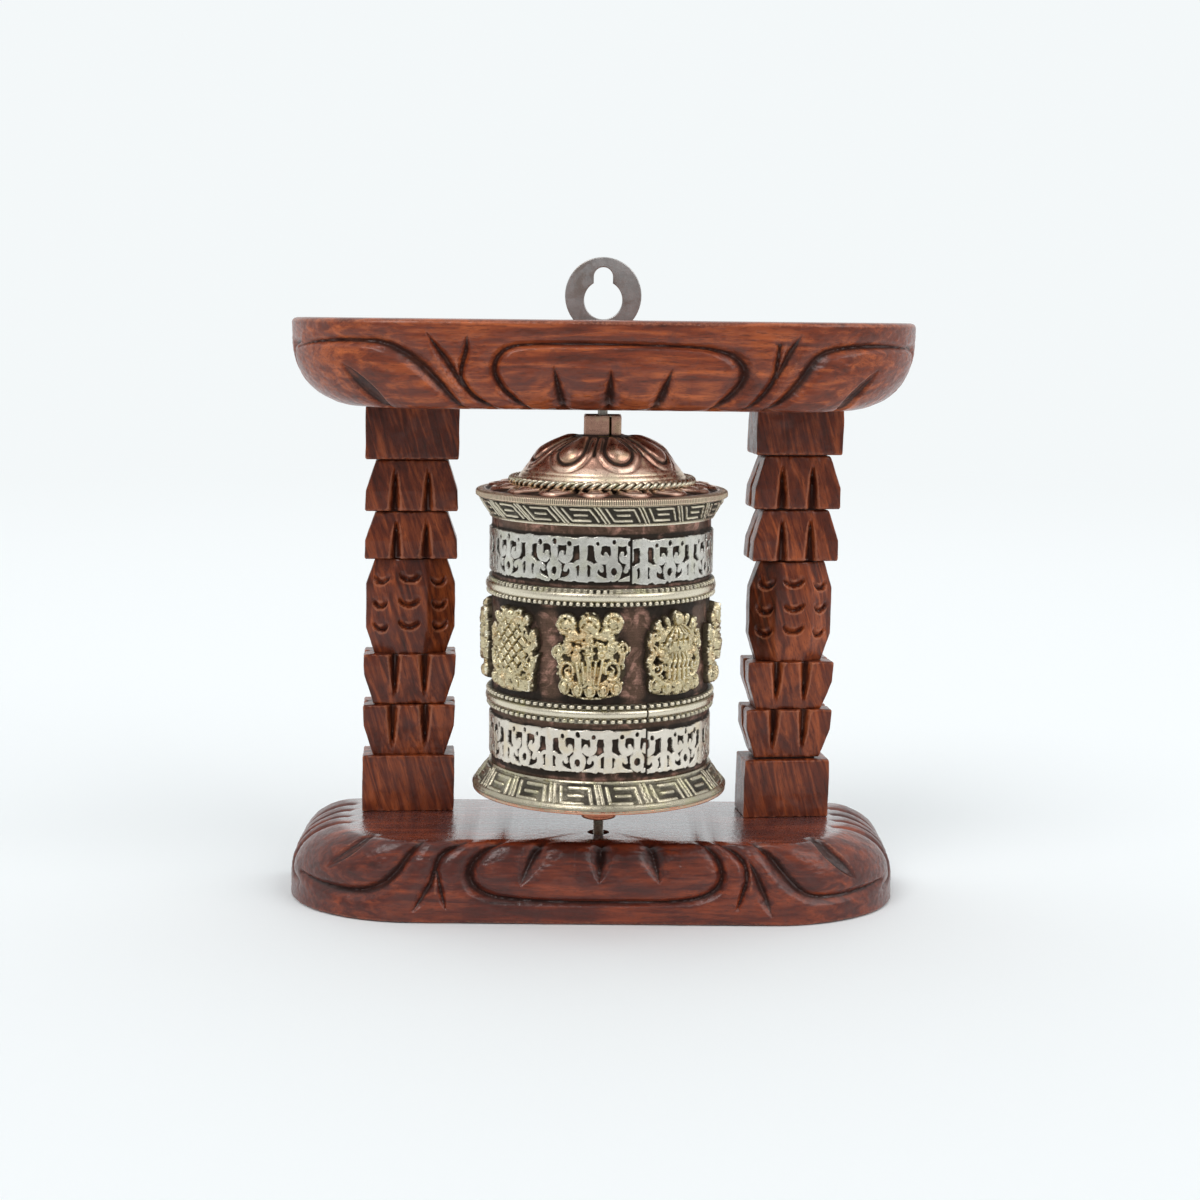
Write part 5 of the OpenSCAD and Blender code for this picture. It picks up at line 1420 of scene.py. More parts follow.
# bead bands: a half-round rib between rows of beads
def bead_band(name, node, z0, z1, rows, rib, rib_h, seed, n_b, seam=None):
    nu = n_b * 12
    zz = np.linspace(z0, z1, 50)
    th, Z = np.meshgrid(around(nu), zz, indexing="ij")
    base = 30.25 + 0.0 * Z
    d = 0.95 * np.sqrt(np.clip(1 - ((Z - rib) / rib_h) ** 2, 0, 1))
    cav = np.zeros(th.shape)
    edge = sm(0.55, 0.93, d)
    for zc, worn in rows:
        a = (th * n_b / TAU) % 1.0 - 0.5
        k = np.floor(th * n_b / TAU)
        size = 1 - worn * np.clip(0.55 + 0.6 * vnoise(np.sin(th) * 5, np.cos(th) * 5, zc, seed), 0, 1)
        a = a + 0.05 * np.sin(k * 2.7 + zc)
        q = (np.abs(a) / (0.37 + 0.03 * np.sin(k * 4.1))) ** 2.4 + (np.abs(Z - zc) / 0.66) ** 2.4
        b = 0.80 * np.sqrt(np.clip(1 - q, 0, 1)) * (0.15 + 0.85 * size)
        near = np.exp(-((Z - zc) / 0.62) ** 4)
        # Painted shade on the ground round each bead.
        cav = np.maximum(cav, near * (1 - sm(0.0, 0.40, b)) * (0.1 + 0.9 * size))
        edge = np.maximum(edge, sm(0.35, 0.7, b))
        d = np.maximum(d, b)
    if seam is not None:
        line = np.exp(-((Z - 62.08) / 0.09) ** 2)
        d = d - 0.14 * line
        cav = np.maximum(cav, 0.6 * line)
    # Painted shade along both edges of the band.
    cav = np.maximum(cav, 0.7 * np.exp(-(Z - z0) / 0.25) + 0.7 * np.exp(-(z1 - Z) / 0.25))
    R = base + d + wobble(th, Z, 0.10, seed + 3, 3) - 0.08
    if seam is not None:
        s = ((th - seam + PI) % TAU - PI) * 30.8
        slit = sm(0.28, 0.12, np.abs(s))
        R = R - slit * 0.9
        cav = np.maximum(cav, slit)
    end = np.minimum(Z - z0, z1 - Z)
    R = np.minimum(R, 31.48)
    R = np.where(end < 0.05, 29.75, R)
    geo = Geo()
    geo.grid(polar(th, R, Z), cu=True, cav=np.clip(cav, 0, 1), edge=np.clip(edge, 0, 1))
    t = around(nu)
    geo.grid(np.stack([polar(t, R[:, -1], z1), polar(t, 29.35, z1), polar(t, 29.35, z0), polar(t, R[:, 0], z0)], 1), cu=True, cav=0.6)
    return geo.make(name, "wheel", [node], "white_metal", SILVER, 70)


bead_band("upper_bead_band_beaded", "upper_bead_band", 89.0, 93.8, [(93.1, 1.0), (89.72, 0.05)], 91.55, 1.35, 31, 110)
bead_band("lower_bead_band_beaded", "lower_bead_band", 58.4, 63.6, [(62.88, 0.0), (59.1, 0.45)], 61.0, 1.2, 37, 90, seam=np.radians(23.5))


# pierced bands: a cut sheet of upright stems, curls and leaves hanging from a rail, over the barrel, which is darkened
# there with painted shade
def pierced_band(name, node, z0, z1, units, seed, turn, seam, mat):
    H = z1 - z0
    r_mid = 29.95
    unit = TAU / units
    W = unit * r_mid
    nu, nv = 936, 56
    th, Z = np.meshgrid(around(nu), np.linspace(z0 - 0.0, z1, nv), indexing="ij")
    tt = (th - turn) / unit
    k = np.floor(tt)
    X = (tt - k - 0.5) * W
    arcs = ((th - seam) % TAU) / TAU
    jog = 0.7 * (arcs - 0.5)
    wav = 0.22 * vnoise(np.sin(th) * 9, np.cos(th) * 9, 0, seed) + 0.12 * vnoise(np.sin(th) * 26, np.cos(th) * 26, 0, seed + 1)
    Y = (Z - z0) - jog
    top = H - 0.55 + wav - 0.35 * np.exp(-((X) / 1.0) ** 2) * 0 + 0.35 * np.exp(-((np.abs(X) - W / 2) / 1.3) ** 2)
    sc = H / 12.8
    h2 = W / 2
    S = []

    def add(pts, curl=1):
        S.append(catmull(np.array([(x, y * sc, w) for x, y, w in pts]), 7))
    # upright stems between units, and one in the middle that opens into a leaf
    S.append(np.array([(-h2, 12.0 * sc, 2.5), (-h2, 6.5 * sc, 2.2), (-h2, 0.7 * sc, 2.6)]))
    S.append(np.array([(h2, 12.0 * sc, 2.5), (h2, 6.5 * sc, 2.2), (h2, 0.7 * sc, 2.6)]))
    S.append(np.array([(0, 12.0 * sc, 2.2), (0, 7.8 * sc, 1.9), (0, 5.6 * sc, 2.6), (0, 3.9 * sc, 4.4), (0, 2.6 * sc, 3.8), (0, 1.3 * sc, 1.6), (0, 0.5 * sc, 0.5)]))
    for s in (-1, 1):
        # upper hook: comes down from the rail and curls in
        add([(s * 4.15, 10.5, 2.1), (s * 4.2, 8.4, 2.0), (s * 3.95, 7.0, 2.2), (s * 2.9, 6.25, 2.3), (s * 1.95, 6.8, 1.7), (s * 2.15, 7.9, 1.3)])
        # lower curl: rises from the foot, turns over and ends in a bulb
        add([(s * 1.5, 0.9, 1.2), (s * 3.2, 0.95, 1.9), (s * 4.7, 1.7, 2.2), (s * 5.2, 3.2, 2.2), (s * 4.6, 4.5, 2.0), (s * 3.5, 4.5, 1.6), (s * 3.1, 3.6, 1.5)])
        # a tie from the lower curl to the outer stem
        add([(s * 5.0, 4.2, 1.3), (s * 6.2, 5.4, 1.3), (s * (h2 - 0.2), 5.7, 1.6)])
        add([(s * 4.7, 1.7, 1.4), (s * (h2 - 0.3), 1.0, 1.6)])
    d = np.full(th.shape, 9.0)
    for ln in S:
        ln = ln.copy()
        ln[:, 2] = ln[:, 2] * 1.06
        dd, _, _ = stroke_field(X, Y, ln)
        d = np.minimum(d, dd)
    rail_bottom = 9.75 * sc + 0.12 * np.sin(X * 2.1 + k * 1.7)
    d = np.minimum(d, rail_bottom - Y)
    # pierced eyes
    for ex, ey, er in ((0, 3.35 * sc, 0.62), (0, 10.9 * sc, 0.42)):
        d = np.maximum(d, er - np.hypot(X - ex, (Y - ey) * 0.75))
    for s in (-1, 1):
        d = np.maximum(d, 0.38 - np.hypot(X - s * 4.15, (Y - 10.4 * sc) * 0.8))
    d = d + 0.16 * vnoise(np.sin(th) * 30, np.cos(th) * 30, Z / 1.0, seed + 2) + 0.10 * vnoise(np.sin(th) * 12, np.cos(th) * 12, Z / 2.4, seed + 3)
    d = np.maximum(d, Y - top)
    foot = 0.45 + 0.35 * vnoise(np.sin(th) * 11, np.cos(th) * 11, 2.0, seed + 5)
    d = np.maximum(d, foot - Y)
    s = ((th - seam + PI) % TAU - PI) * r_mid
    slit = 0.16 - np.abs(s)
    d = np.maximum(d, slit)
    solid = sm(0.10, -0.16, d)
    lift = 0.10 * sm(-0.1, 1.2, s) * sm(9.0, 2.0, s)
    R = 29.05 + (1.12 + lift) * solid + wobble(th, Z, 0.07, seed + 7, 3) * solid
    R = np.minimum(R, 30.29)
    # Painted shadow: a dark outline along every cut edge.
    cav = np.clip(sm(-0.24, 0.02, d) * 1.3, 0, 1)
    edge = np.exp(-((d + 0.42) / 0.2) ** 2) * 0.5
    keep = d < 0.42
    geo = Geo()
    shell_of(geo, polar(th, R, Z), polar(th, np.full(th.shape, 29.0), Z), keep, cav, edge, cu=True)
    return geo.make(name, "wheel", [node], "white_metal", mat, 75)


pierced_band("upper_pierced_band_cut", "upper_pierced_band", 94.6, 107.4, 12, 51, np.radians(-9), np.radians(14.5), SHEET)
pierced_band("lower_pierced_band_cut", "lower_pierced_band", 44.6, 57.0, 12, 67, np.radians(4), np.radians(24), SHEET2)


# ------------------------------------------------------------------ the eight cast plaques

class Relief:
    """A cast relief as heights above the barrel. Shapes are laid on and the highest wins."""

    def __init__(s, seed):
        s.nx, s.ny = 156, 162
        s.X, s.Y = np.meshgrid(np.linspace(-11.0, 11.0, s.nx), np.linspace(-11.6, 11.6, s.ny), indexing="ij")
        s.H = np.full(s.X.shape, -0.62)
        s.seed = seed

    def disc(s, x, y, r, h=0.75):
        s.H = np.where(np.hypot(s.X - x, s.Y - y) < r, np.maximum(s.H, h), s.H)

    def bump(s, x, y, rx, ry, h, rot=0.0, base=1.0, p=0.5):
        a = math.radians(rot)
        c, k = math.cos(a), math.sin(a)
        u, v = (s.X - x) * c + (s.Y - y) * k, -(s.X - x) * k + (s.Y - y) * c
        q = (u / rx) ** 2 + (v / ry) ** 2
        s.H = np.where(q < 1, np.maximum(s.H, base + h * np.clip(1 - q, 0, 1) ** p), s.H)

    def tube(s, pts, h, base=1.0, p=0.5, smooth=True):
        ln = np.array(pts, float)
        ln = catmull(ln, 6) if smooth and len(ln) > 2 else ln
        d, half, _ = stroke_field(s.X, s.Y, ln)
        q = np.clip(-d / half, 0, 1)
        s.H = np.where(d < 0, np.maximum(s.H, base + h * (1 - (1 - q) ** 2) ** p), s.H)

    def cut(s, pts, depth, smooth=True):
        ln = np.array(pts, float)
        ln = catmull(ln, 6) if smooth and len(ln) > 2 else ln
        d, half, _ = stroke_field(s.X, s.Y, ln)
        q = np.clip(-d / half, 0, 1)
        s.H = np.where(s.H > 0.2, np.maximum(s.H - depth * np.sqrt(q), 0.45), s.H)

    def spiral(s, x, y, r, turns, w, h, spin=1, start=0.0, base=1.0):
        t = np.linspace(0, 1, int(18 * turns) + 4)
        rr = r * (1 - 0.86 * t)
        a = math.radians(start) + spin * t * turns * TAU
        s.tube(np.stack([x + rr * np.cos(a), y + rr * np.sin(a), w * (1 - 0.35 * t)], 1), h, base, smooth=False)

    def petal(s, x, y, ln, w, rot, h=1.4, base=1.0, vein=True):
        """A leaf from its foot at (x, y), ln long, pointing along rot (0 is up)."""
        a = math.radians(rot)
        dx, dy = -math.sin(a), math.cos(a)
        f = lambda t: (x + dx * ln * t, y + dy * ln * t)
        s.tube([(*f(0.02), w * 0.45), (*f(0.3), w * 0.9), (*f(0.6), w), (*f(0.85), w * 0.62), (*f(1.0), w * 0.2)], h, base)
        if vein:
            s.cut([(*f(0.12), 0.35), (*f(0.5), 0.5), (*f(0.82), 0.3)], 0.55)

    def rosette(s, x, y, r, n, h=1.3, base=1.1, turn=0.0):
        for k in range(n):
            a = math.radians(turn) + k * TAU / n
            s.bump(x + 0.62 * r * math.cos(a), y + 0.62 * r * math.sin(a), r * 0.42, r * 0.30, h * 0.75, math.degrees(a), base)
        s.bump(x, y, r * 0.34, r * 0.34, h, 0, base + 0.1)

    def trim(s, wide=9.9, top=11.1, foot=8.3, lobes=13, y0=1.2):
        """One compact lobed outline, filled with the plaque's ground."""
        w_top = wide * np.sqrt(np.clip(1 - (np.clip(s.Y - y0, 0, 99) / (top - y0)) ** 2.3, 0, 1))
        w_low = wide - (wide - foot) * np.clip((y0 - s.Y) / (y0 + 10.6), 0, 1) ** 1.4
        phi = np.arctan2(s.Y - 0.5, s.X)
        w = np.where(s.Y > y0, w_top, w_low) * (1 + 0.040 * np.sin(lobes * phi + s.seed) + 0.05 * vnoise(np.cos(phi) * 4, np.sin(phi) * 4, 0.0, s.seed + 9))
        inside = (np.abs(s.X) < w) & (s.Y > -11.0 + 0.012 * s.X ** 2)
        by = soften((s.H > 1.15).astype(float), 8) > 0.05
        s.H = np.where(inside & by, np.maximum(s.H, 0.95), -0.62)

    def throne(s, wide=6.8, low=-8.7):
        """The lotus foot that every plaque stands on."""
        f = lambda x: low + 0.013 * x * x
        for x in np.linspace(-wide, wide, 13):
            s.disc(x, f(x) + 0.9, 2.1, 0.95)
        xs = np.linspace(-wide, wide, 5)
        for a, b in zip(xs[:-1], xs[1:]):
            m = (a + b) / 2
            s.bump(m, f(m) + 1.3, 0.85, 1.7, 1.0, -m * 1.6, 0.8)
        for k, x in enumerate(xs):
            y = f(x)
            rot = -x * 2.2
            s.bump(x, y, 1.62, 2.25, 1.75, rot, 1.05)
            ring = [(x + 1.02 * math.sin(t) , y + 0.1 + 1.5 * math.cos(t), 0.38) for t in np.linspace(-2.5, 2.5, 9)]
            s.cut(ring, 0.8)
            s.bump(x, y + 0.1, 0.55, 0.95, 0.5, rot, 2.2)
        s.tube([(-wide, f(wide) - 1.7, 0.8), (-wide * 0.5, f(wide * 0.5) - 2.1, 0.9), (0, low - 2.25, 0.9), (wide * 0.5, f(wide * 0.5) - 2.1, 0.9), (wide, f(wide) - 1.7, 0.8)], 0.6, 0.75)

    def sides(s, y0=-6.6, y1=4.0, x=8.0, seed=0):
        """Scrolling leaves up both sides."""
        for k in (-1, 1):
            for y in np.linspace(y0, y1 + 2.0, 8):
                s.disc(k * 5.4, y, 3.6, 0.95)
            s.tube([(k * 5.6, y0, 1.1), (k * 7.6, y0 + 1.6, 1.4), (k * 8.4, y0 + 4.2, 1.5), (k * 7.4, y0 + 6.6, 1.3), (k * 8.3, y0 + 8.6, 1.3), (k * (x + 0.6), y1, 0.9)], 1.2, 0.9)
            for y in (y0 + 1.2, y0 + 3.2, y0 + 5.2, y0 + 7.4, y0 + 9.2):
                s.disc(k * (x - 0.7), y, 1.9)
            s.spiral(k * 6.7, y0 + 2.9, 1.75, 1.2, 1.0, 1.3, k, 90 + 60 * k, 0.95)
            s.spiral(k * 7.9, y0 + 8.0, 1.6, 1.1, 0.9, 1.2, -k, 200 - 50 * k, 0.95)
            s.petal(k * 8.2, y0 + 4.6, 2.6, 1.5, -k * 62, 1.0, 0.9)
            s.petal(k * 7.4, y0 + 9.6, 2.6, 1.5, -k * 24, 1.1, 0.9)

    def build(s, name, node, angle, trim=True, rise=1.0):
        if trim:
            s.trim()
        on = s.H > 0.2
        coarse = fbm(s.X / 0.62, s.Y / 0.62, s.seed, 2, s.seed)
        pits = np.clip(coarse - 0.22, 0, 1)
        grit = 0.26 * coarse + 0.12 * vnoise(s.X / 0.35, s.Y / 0.35, 1.0, s.seed + 3) - 0.7 * pits
        bed = on & (s.H < 1.0)
        H = np.where(on, s.H + grit, s.H) + np.where(bed, 0.75 * sm(-0.05, 0.5, vnoise(s.X / 0.95, s.Y / 0.95, 4.0, s.seed + 21)), 0.0)
        H = soften(H, 1)
        low = soften(H, 7)
        # The ground, recesses and pits darkened: tarnish with painted shade.
        cav = np.clip(0.95 * sm(1.45, 1.0, H) + 1.7 * np.clip(low - H - 0.05, 0, 1) + 1.3 * pits, 0, 1)
        edge = np.clip((H - low) * 2.4, 0, 1) * sm(1.0, 1.5, H)
        H = np.clip(H, -0.62, 3.56)
        core = H > -0.5
        keep = core.copy()
        keep[1:] |= core[:-1]
        keep[:-1] |= core[1:]
        keep[:, 1:] |= core[:, :-1]
        keep[:, :-1] |= core[:, 1:]
        th = math.radians(angle) + s.X / 31.2
        up = np.where(s.Y > 0, s.Y * rise, s.Y)
        geo = Geo()
        shell_of(geo, polar(th, BARREL_R + H, 76.2 + up), polar(th, np.full(th.shape, 28.93), 76.2 + up), keep, cav, edge)
        return geo.make(name, "wheel", [node], "plaque_brass", PLAQUE, 80)


def lotus_plaque():
    r = Relief(101)
    r.throne()
    for x, y, q in ((-0.3, 0.6, 7.6), (-6.4, 8.3, 2.9), (5.9, 8.9, 2.9), (-0.3, 8.6, 3.2), (-5.0, -3.8, 4.3), (5.0, -3.4, 4.4), (-8.2, 1.0, 2.4), (8.2, 1.9, 2.5), (0, -5, 5.2), (0, 5, 5.6), (-4.5, 5.6, 3.4), (4.3, 6.0, 3.4)):
        r.disc(x, y, q, 0.95)
    # three heads at the top
    for x, y, t in ((-6.4, 8.2, 24), (5.9, 8.8, -22)):
        k = 1 if x < 0 else -1
        r.bump(x, y, 2.9, 3.0, 1.3, t, 1.2)
        r.cut([(x + 1.45 * math.cos(a), y + 1.6 * math.sin(a), 0.38) for a in np.linspace(0.4, 5.6, 12)], 0.9)
        r.bump(x - k * 0.2, y + 0.25, 1.0, 1.2, 1.5, t, 1.5)
        for a in (0.2, 1.2, 2.2, 3.2, 4.2, 5.2):
            r.bump(x + 2.1 * math.cos(a), y + 2.2 * math.sin(a), 0.85, 0.8, 1.0, 0, 1.5)
        r.bump(x + k * 1.9, y - 2.5, 1.5, 1.3, 1.3, t, 1.2)
    r.bump(-0.3, 8.2, 3.0, 2.7, 1.3, 0, 1.2)
    r.cut([(-2.2, 7.6, 0.45), (-1.2, 8.9, 0.5), (-0.3, 9.4, 0.45), (0.6, 8.9, 0.5), (1.6, 7.6, 0.45)], 1.0)
    r.bump(-0.3, 7.7, 1.25, 1.35, 1.5, 0, 1.4)
    for x in (-2.3, -1.4, 0.8, 1.7):
        r.bump(x, 8.0 + 1.4 * math.cos((x + 0.3) * 0.6), 0.7, 0.7, 0.9, 0, 1.3)
    for x, y in ((-4.2, 4.8), (-2.6, 5.3), (3.6, 5.2), (2.0, 5.6), (-0.4, 5.4), (-5.6, 4.6), (5.2, 5.0)):
        r.bump(x, y, 1.35, 1.15, 1.3, -x * 6, 1.2)
        r.cut([(x - 0.5, y - 0.2, 0.3), (x + 0.5, y + 0.25, 0.3)], 0.5)
    # flower in the middle and round buds about it
    r.rosette(-0.6, 3.0, 2.2, 7, 1.5, 1.2)
    for x, y, q in ((-6.2, 2.1, 1.7), (5.6, 2.5, 1.8), (-3.5, 1.9, 1.2), (2.7, 2.7, 1.2), (-3.7, -0.2, 1.55), (3.0, 0.6, 1.45), (-0.4, 0.0, 1.35)):
        r.bump(x, y, q * 0.95, q * 1.05, 1.4, x * 4, 1.15)
        r.cut([(x + 0.62 * q * math.cos(a), y + 0.66 * q * math.sin(a), 0.3) for a in np.linspace(3.5, 8.6, 8)], 0.55)
        r.bump(x, y + 0.1, 0.4 * q, 0.42 * q, 0.7, 0, 2.1)
    # stems and narrow leaves
    for x0, x1, y1, w in ((-0.3, -0.3, -1.2, 1.7), (-1.5, -2.0, -1.6, 1.1), (0.9, 1.5, -1.2, 1.1), (-2.6, -3.5, -1.7, 1.1), (2.1, 3.2, -0.9, 1.1)):
        r.tube([(x0, -6.8, w), ((x0 + x1) / 2, -4.2, w * 1.2), (x1, y1, w)], 1.3, 1.1)
        if w > 1.2:
            r.cut([(x0, -5.8, 0.3), (x1, -2.0, 0.35)], 0.7)
    for k, x, y in ((-1, -6.1, -4.0), (1, 5.7, -3.6)):
        r.tube([(x + 1.75 * k * math.cos(a), y + 2.35 * math.sin(a), 1.25) for a in np.linspace(-2.2, 3.4, 16)], 1.25, 1.0)
        r.bump(x - 0.2 * k, y - 0.9, 0.95, 1.15, 1.3, 0, 1.1)
        r.tube([(x - 0.3 * k, y + 1.1, 0.7), (x + 0.5 * k, y + 0.4, 0.7), (x + 0.4 * k, y - 0.6, 0.6)], 0.9, 1.0)
    r.petal(-8.0, -2.4, 3.2, 1.9, 12, 1.1, 0.9)
    r.petal(8.0, -1.9, 3.2, 1.9, -12, 1.1, 0.9)
    for k, x, y in ((-1, -8.5, 1.2), (1, 8.5, 2.1)):
        r.tube([(x + 1.15 * k * math.cos(a), y + 1.45 * math.sin(a), 0.95) for a in np.linspace(-2.6, 2.8, 12)], 1.1, 0.9)
        r.bump(x, y, 0.6, 0.7, 0.8, 0, 1.0)
    return r


def knot_plaque():
    r = Relief(102)
    r.throne()
    r.sides(-6.4, 4.6)
    for x, y, q in ((0, 0, 7.0), (0, 6.5, 4.2), (0, -5, 5.0)):
        r.disc(x, y, q)
    # a woven lattice: a crowned field with the crossing bands' edges cut into it
    c = (0.0, 0.9)
    r.bump(c[0], c[1], 7.2, 8.0, 1.0, 0, 1.35, 0.35)
    for s_ in (1, -1):
        a = math.radians(45 * s_)
        dx, dy = math.sin(a), math.cos(a)
        for k in range(-2, 4):
            off = (k - 0.5) * 2.35
            L = math.sqrt(max(6.9 ** 2 - off ** 2, 0.1))
            ox, oy = dy * off, -dx * off
            r.cut([(c[0] + ox - dx * L, c[1] + oy - dy * L, 0.66), (c[0] + ox + dx * L, c[1] + oy + dy * L, 0.66)], 1.3, smooth=False)
    for x, y, a in ((0, 8.6, 0), (-6.6, 1.2, 90), (6.6, 1.2, -90), (0, -6.6, 180)):
        r.bump(x, y, 1.5, 1.5, 1.4, 0, 1.2)
        r.cut([(x - 0.8, y, 0.4), (x + 0.8, y, 0.4)], 0.45)
    for k in (-1, 1):
        r.spiral(k * 3.6, 8.0, 1.9, 1.2, 1.0, 1.2, k, 90, 1.0)
        r.disc(k * 3.7, 7.8, 2.2)
        r.petal(k * 5.2, 6.4, 3.2, 1.8, -k * 30, 1.2, 1.0)
        r.petal(k * 3.0, -6.0, 2.6, 1.6, k * 40, 1.1, 1.0)
    r.H = np.where((np.abs(r.X - 6.4) < 1.7) & (np.abs(r.Y + 8.6) < 1.6), np.maximum(r.H, 2.75), r.H)
    return r


def fish_plaque():
    r = Relief(103)
    r.throne()
    r.sides(-6.4, 4.4)
    for x, y, q in ((-3, 1, 5.0), (3, 1, 5.0), (0, 6.5, 4.6), (0, -5, 5.0)):
        r.disc(x, y, q)
    for k in (-1, 1):
        body = [(k * 1.6, -5.8, 0.9), (k * 3.4, -3.6, 2.2), (k * 4.4, -0.4, 3.4), (k * 4.1, 3.2, 3.6), (k * 2.6, 6.2, 2.6), (k * 1.2, 7.8, 1.2)]
        r.tube(body, 1.9, 1.2)
        for t in range(7):
            y = -3.2 + t * 1.15
            x = k * (3.3 + 1.0 * math.sin((y + 4) / 8 * PI))
            for j in (-1, 0, 1):
                r.cut([(x + j * 1.05 - 0.5, y + 0.35, 0.22), (x + j * 1.05, y, 0.3), (x + j * 1.05 + 0.5, y + 0.35, 0.22)], 0.32)
        r.bump(k * 3.0, 5.3, 0.55, 0.55, 0.8, 0, 2.5)
        r.cut([(k * 1.8, 4.6, 0.35), (k * 3.4, 3.9, 0.4), (k * 4.9, 4.5, 0.35)], 0.5)
        r.petal(k * 5.2, 1.2, 2.8, 1.6, -k * 110, 1.0, 1.2)
        r.petal(k * 1.5, -5.4, 2.8, 1.7, k * 150, 1.0, 1.2)
        r.petal(k * 2.2, -5.6, 2.6, 1.5, -k * 120, 1.0, 1.2)
        r.spiral(k * 5.4, 7.4, 1.8, 1.2, 0.95, 1.2, -k, 90, 1.0)
        r.disc(k * 5.2, 7.3, 2.2)
    r.bump(0, 9.0, 1.4, 1.6, 1.4, 0, 1.2)
    r.tube([(0, 7.4, 0.9), (0, 2, 1.2), (0, -3.4, 1.0)], 1.0, 1.0)
    return r


def wheel_plaque():
    r = Relief(104)
    r.throne()
    r.sides(-6.4, 3.4)
    r.disc(0, 2.0, 8.3)
    r.disc(0, -5, 5.0)
    for rad, w, h in ((7.2, 1.7, 1.6), (5.6, 0.7, 1.0)):
        a = np.linspace(0, TAU, 73)
        r.tube(np.stack([rad * np.cos(a), 2.0 + rad * np.sin(a), np.full(73, w)], 1), h, 1.2, smooth=False)
    for k in range(8):
        a = k * TAU / 8 + PI / 8
        c, s_ = math.cos(a), math.sin(a)
        r.tube([(1.4 * c, 2 + 1.4 * s_, 0.8), (3.2 * c, 2 + 3.2 * s_, 1.4), (5.2 * c, 2 + 5.2 * s_, 0.9)], 1.4, 1.2)
        r.bump(7.2 * c, 2 + 7.2 * s_, 0.75, 0.75, 1.0, 0, 2.0)
    r.rosette(0, 2.0, 1.9, 6, 1.4, 1.6)
    r.petal(0, 8.2, 2.9, 2.0, 0, 1.3, 1.3)
    return r


def banner_plaque():
    r = Relief(105)
    r.throne()
    r.sides(-6.4, 4.8)
    for x, y, q in ((0, 0, 5.6), (0, 6.6, 4.2), (0, -5, 5.0), (0, 3, 5.4)):
        r.disc(x, y, q)
    r.petal(0, 7.0, 3.9, 2.0, 0, 1.6, 1.4)
    r.bump(0, 6.9, 3.2, 1.3, 1.4, 0, 1.3)
    for k, y in enumerate((4.9, 2.5, 0.1, -2.3)):
        w = 3.7 + 0.15 * k
        r.tube([(-w, y + 0.4, 1.5), (0, y - 0.25, 1.9), (w, y + 0.4, 1.5)], 1.6, 1.2)
        r.tube([(-w - 0.2, y - 0.9, 0.7), (0, y - 1.5, 0.8), (w + 0.2, y - 0.9, 0.7)], 1.0, 1.2)
        for x in np.linspace(-w + 0.5, w - 0.5, 6):
            r.cut([(x, y + 0.9, 0.25), (x, y - 0.7, 0.3)], 0.35)
            r.bump(x, y - 1.6, 0.42, 0.5, 0.7, 0, 1.4)
    r.tube([(0, -4.2, 1.2), (0, -6.8, 1.2)], 1.4, 1.2)
    for k in (-1, 1):
        r.tube([(k * 4.0, 5.0, 0.9), (k * 5.7, 6.6, 1.1), (k * 4.8, 8.6, 1.0), (k * 3.0, 8.6, 0.7)], 1.2, 1.0)
        r.disc(k * 4.6, 7.2, 2.0)
        r.petal(k * 2.2, -4.4, 2.8, 1.6, k * 130, 1.1, 1.1)
    return r


def conch_plaque():
    r = Relief(106)
    r.throne()
    r.sides(-6.4, 3.8)
    for x, y, q in ((0, 1.5, 6.4), (0, 6.4, 4.0), (0, -5, 5.0)):
        r.disc(x, y, q)
    r.bump(0.6, 1.4, 4.3, 5.6, 2.0, 16, 1.2)
    for k, (y, w) in enumerate(((8.6, 1.1), (7.2, 1.9), (5.6, 2.8), (3.8, 3.6))):
        r.tube([(-1.2 - w * 0.8, y - 0.5, 0.9), (-0.9, y + 0.25, 1.5), (-1.0 + w * 0.9, y - 0.35, 1.0)], 1.6, 1.6)
    r.spiral(-1.0, 5.0, 2.5, 1.6, 1.0, 1.0, 1, 40, 2.1)
    r.tube([(2.6, 4.2, 1.2), (4.3, 1.4, 1.6), (3.4, -2.2, 1.5), (0.9, -4.9, 1.0)], 1.5, 1.6)
    r.cut([(1.2, 2.6, 1.4), (1.8, 0.2, 2.0), (1.0, -2.8, 1.2)], 1.2)
    for t in range(5):
        y = 2.4 - t * 1.35
        r.cut([(-3.6 + 0.2 * t, y, 0.3), (-2.0, y - 0.8, 0.4), (-0.3, y - 0.6, 0.3)], 0.4)
    for k in (-1, 1):
        r.spiral(k * 5.3, 6.9, 2.0, 1.3, 1.0, 1.2, -k, 100, 1.0)
        r.disc(k * 5.0, 6.9, 2.3)
        r.petal(k * 3.2, -5.6, 2.6, 1.6, k * 60, 1.1, 1.0)
    return r


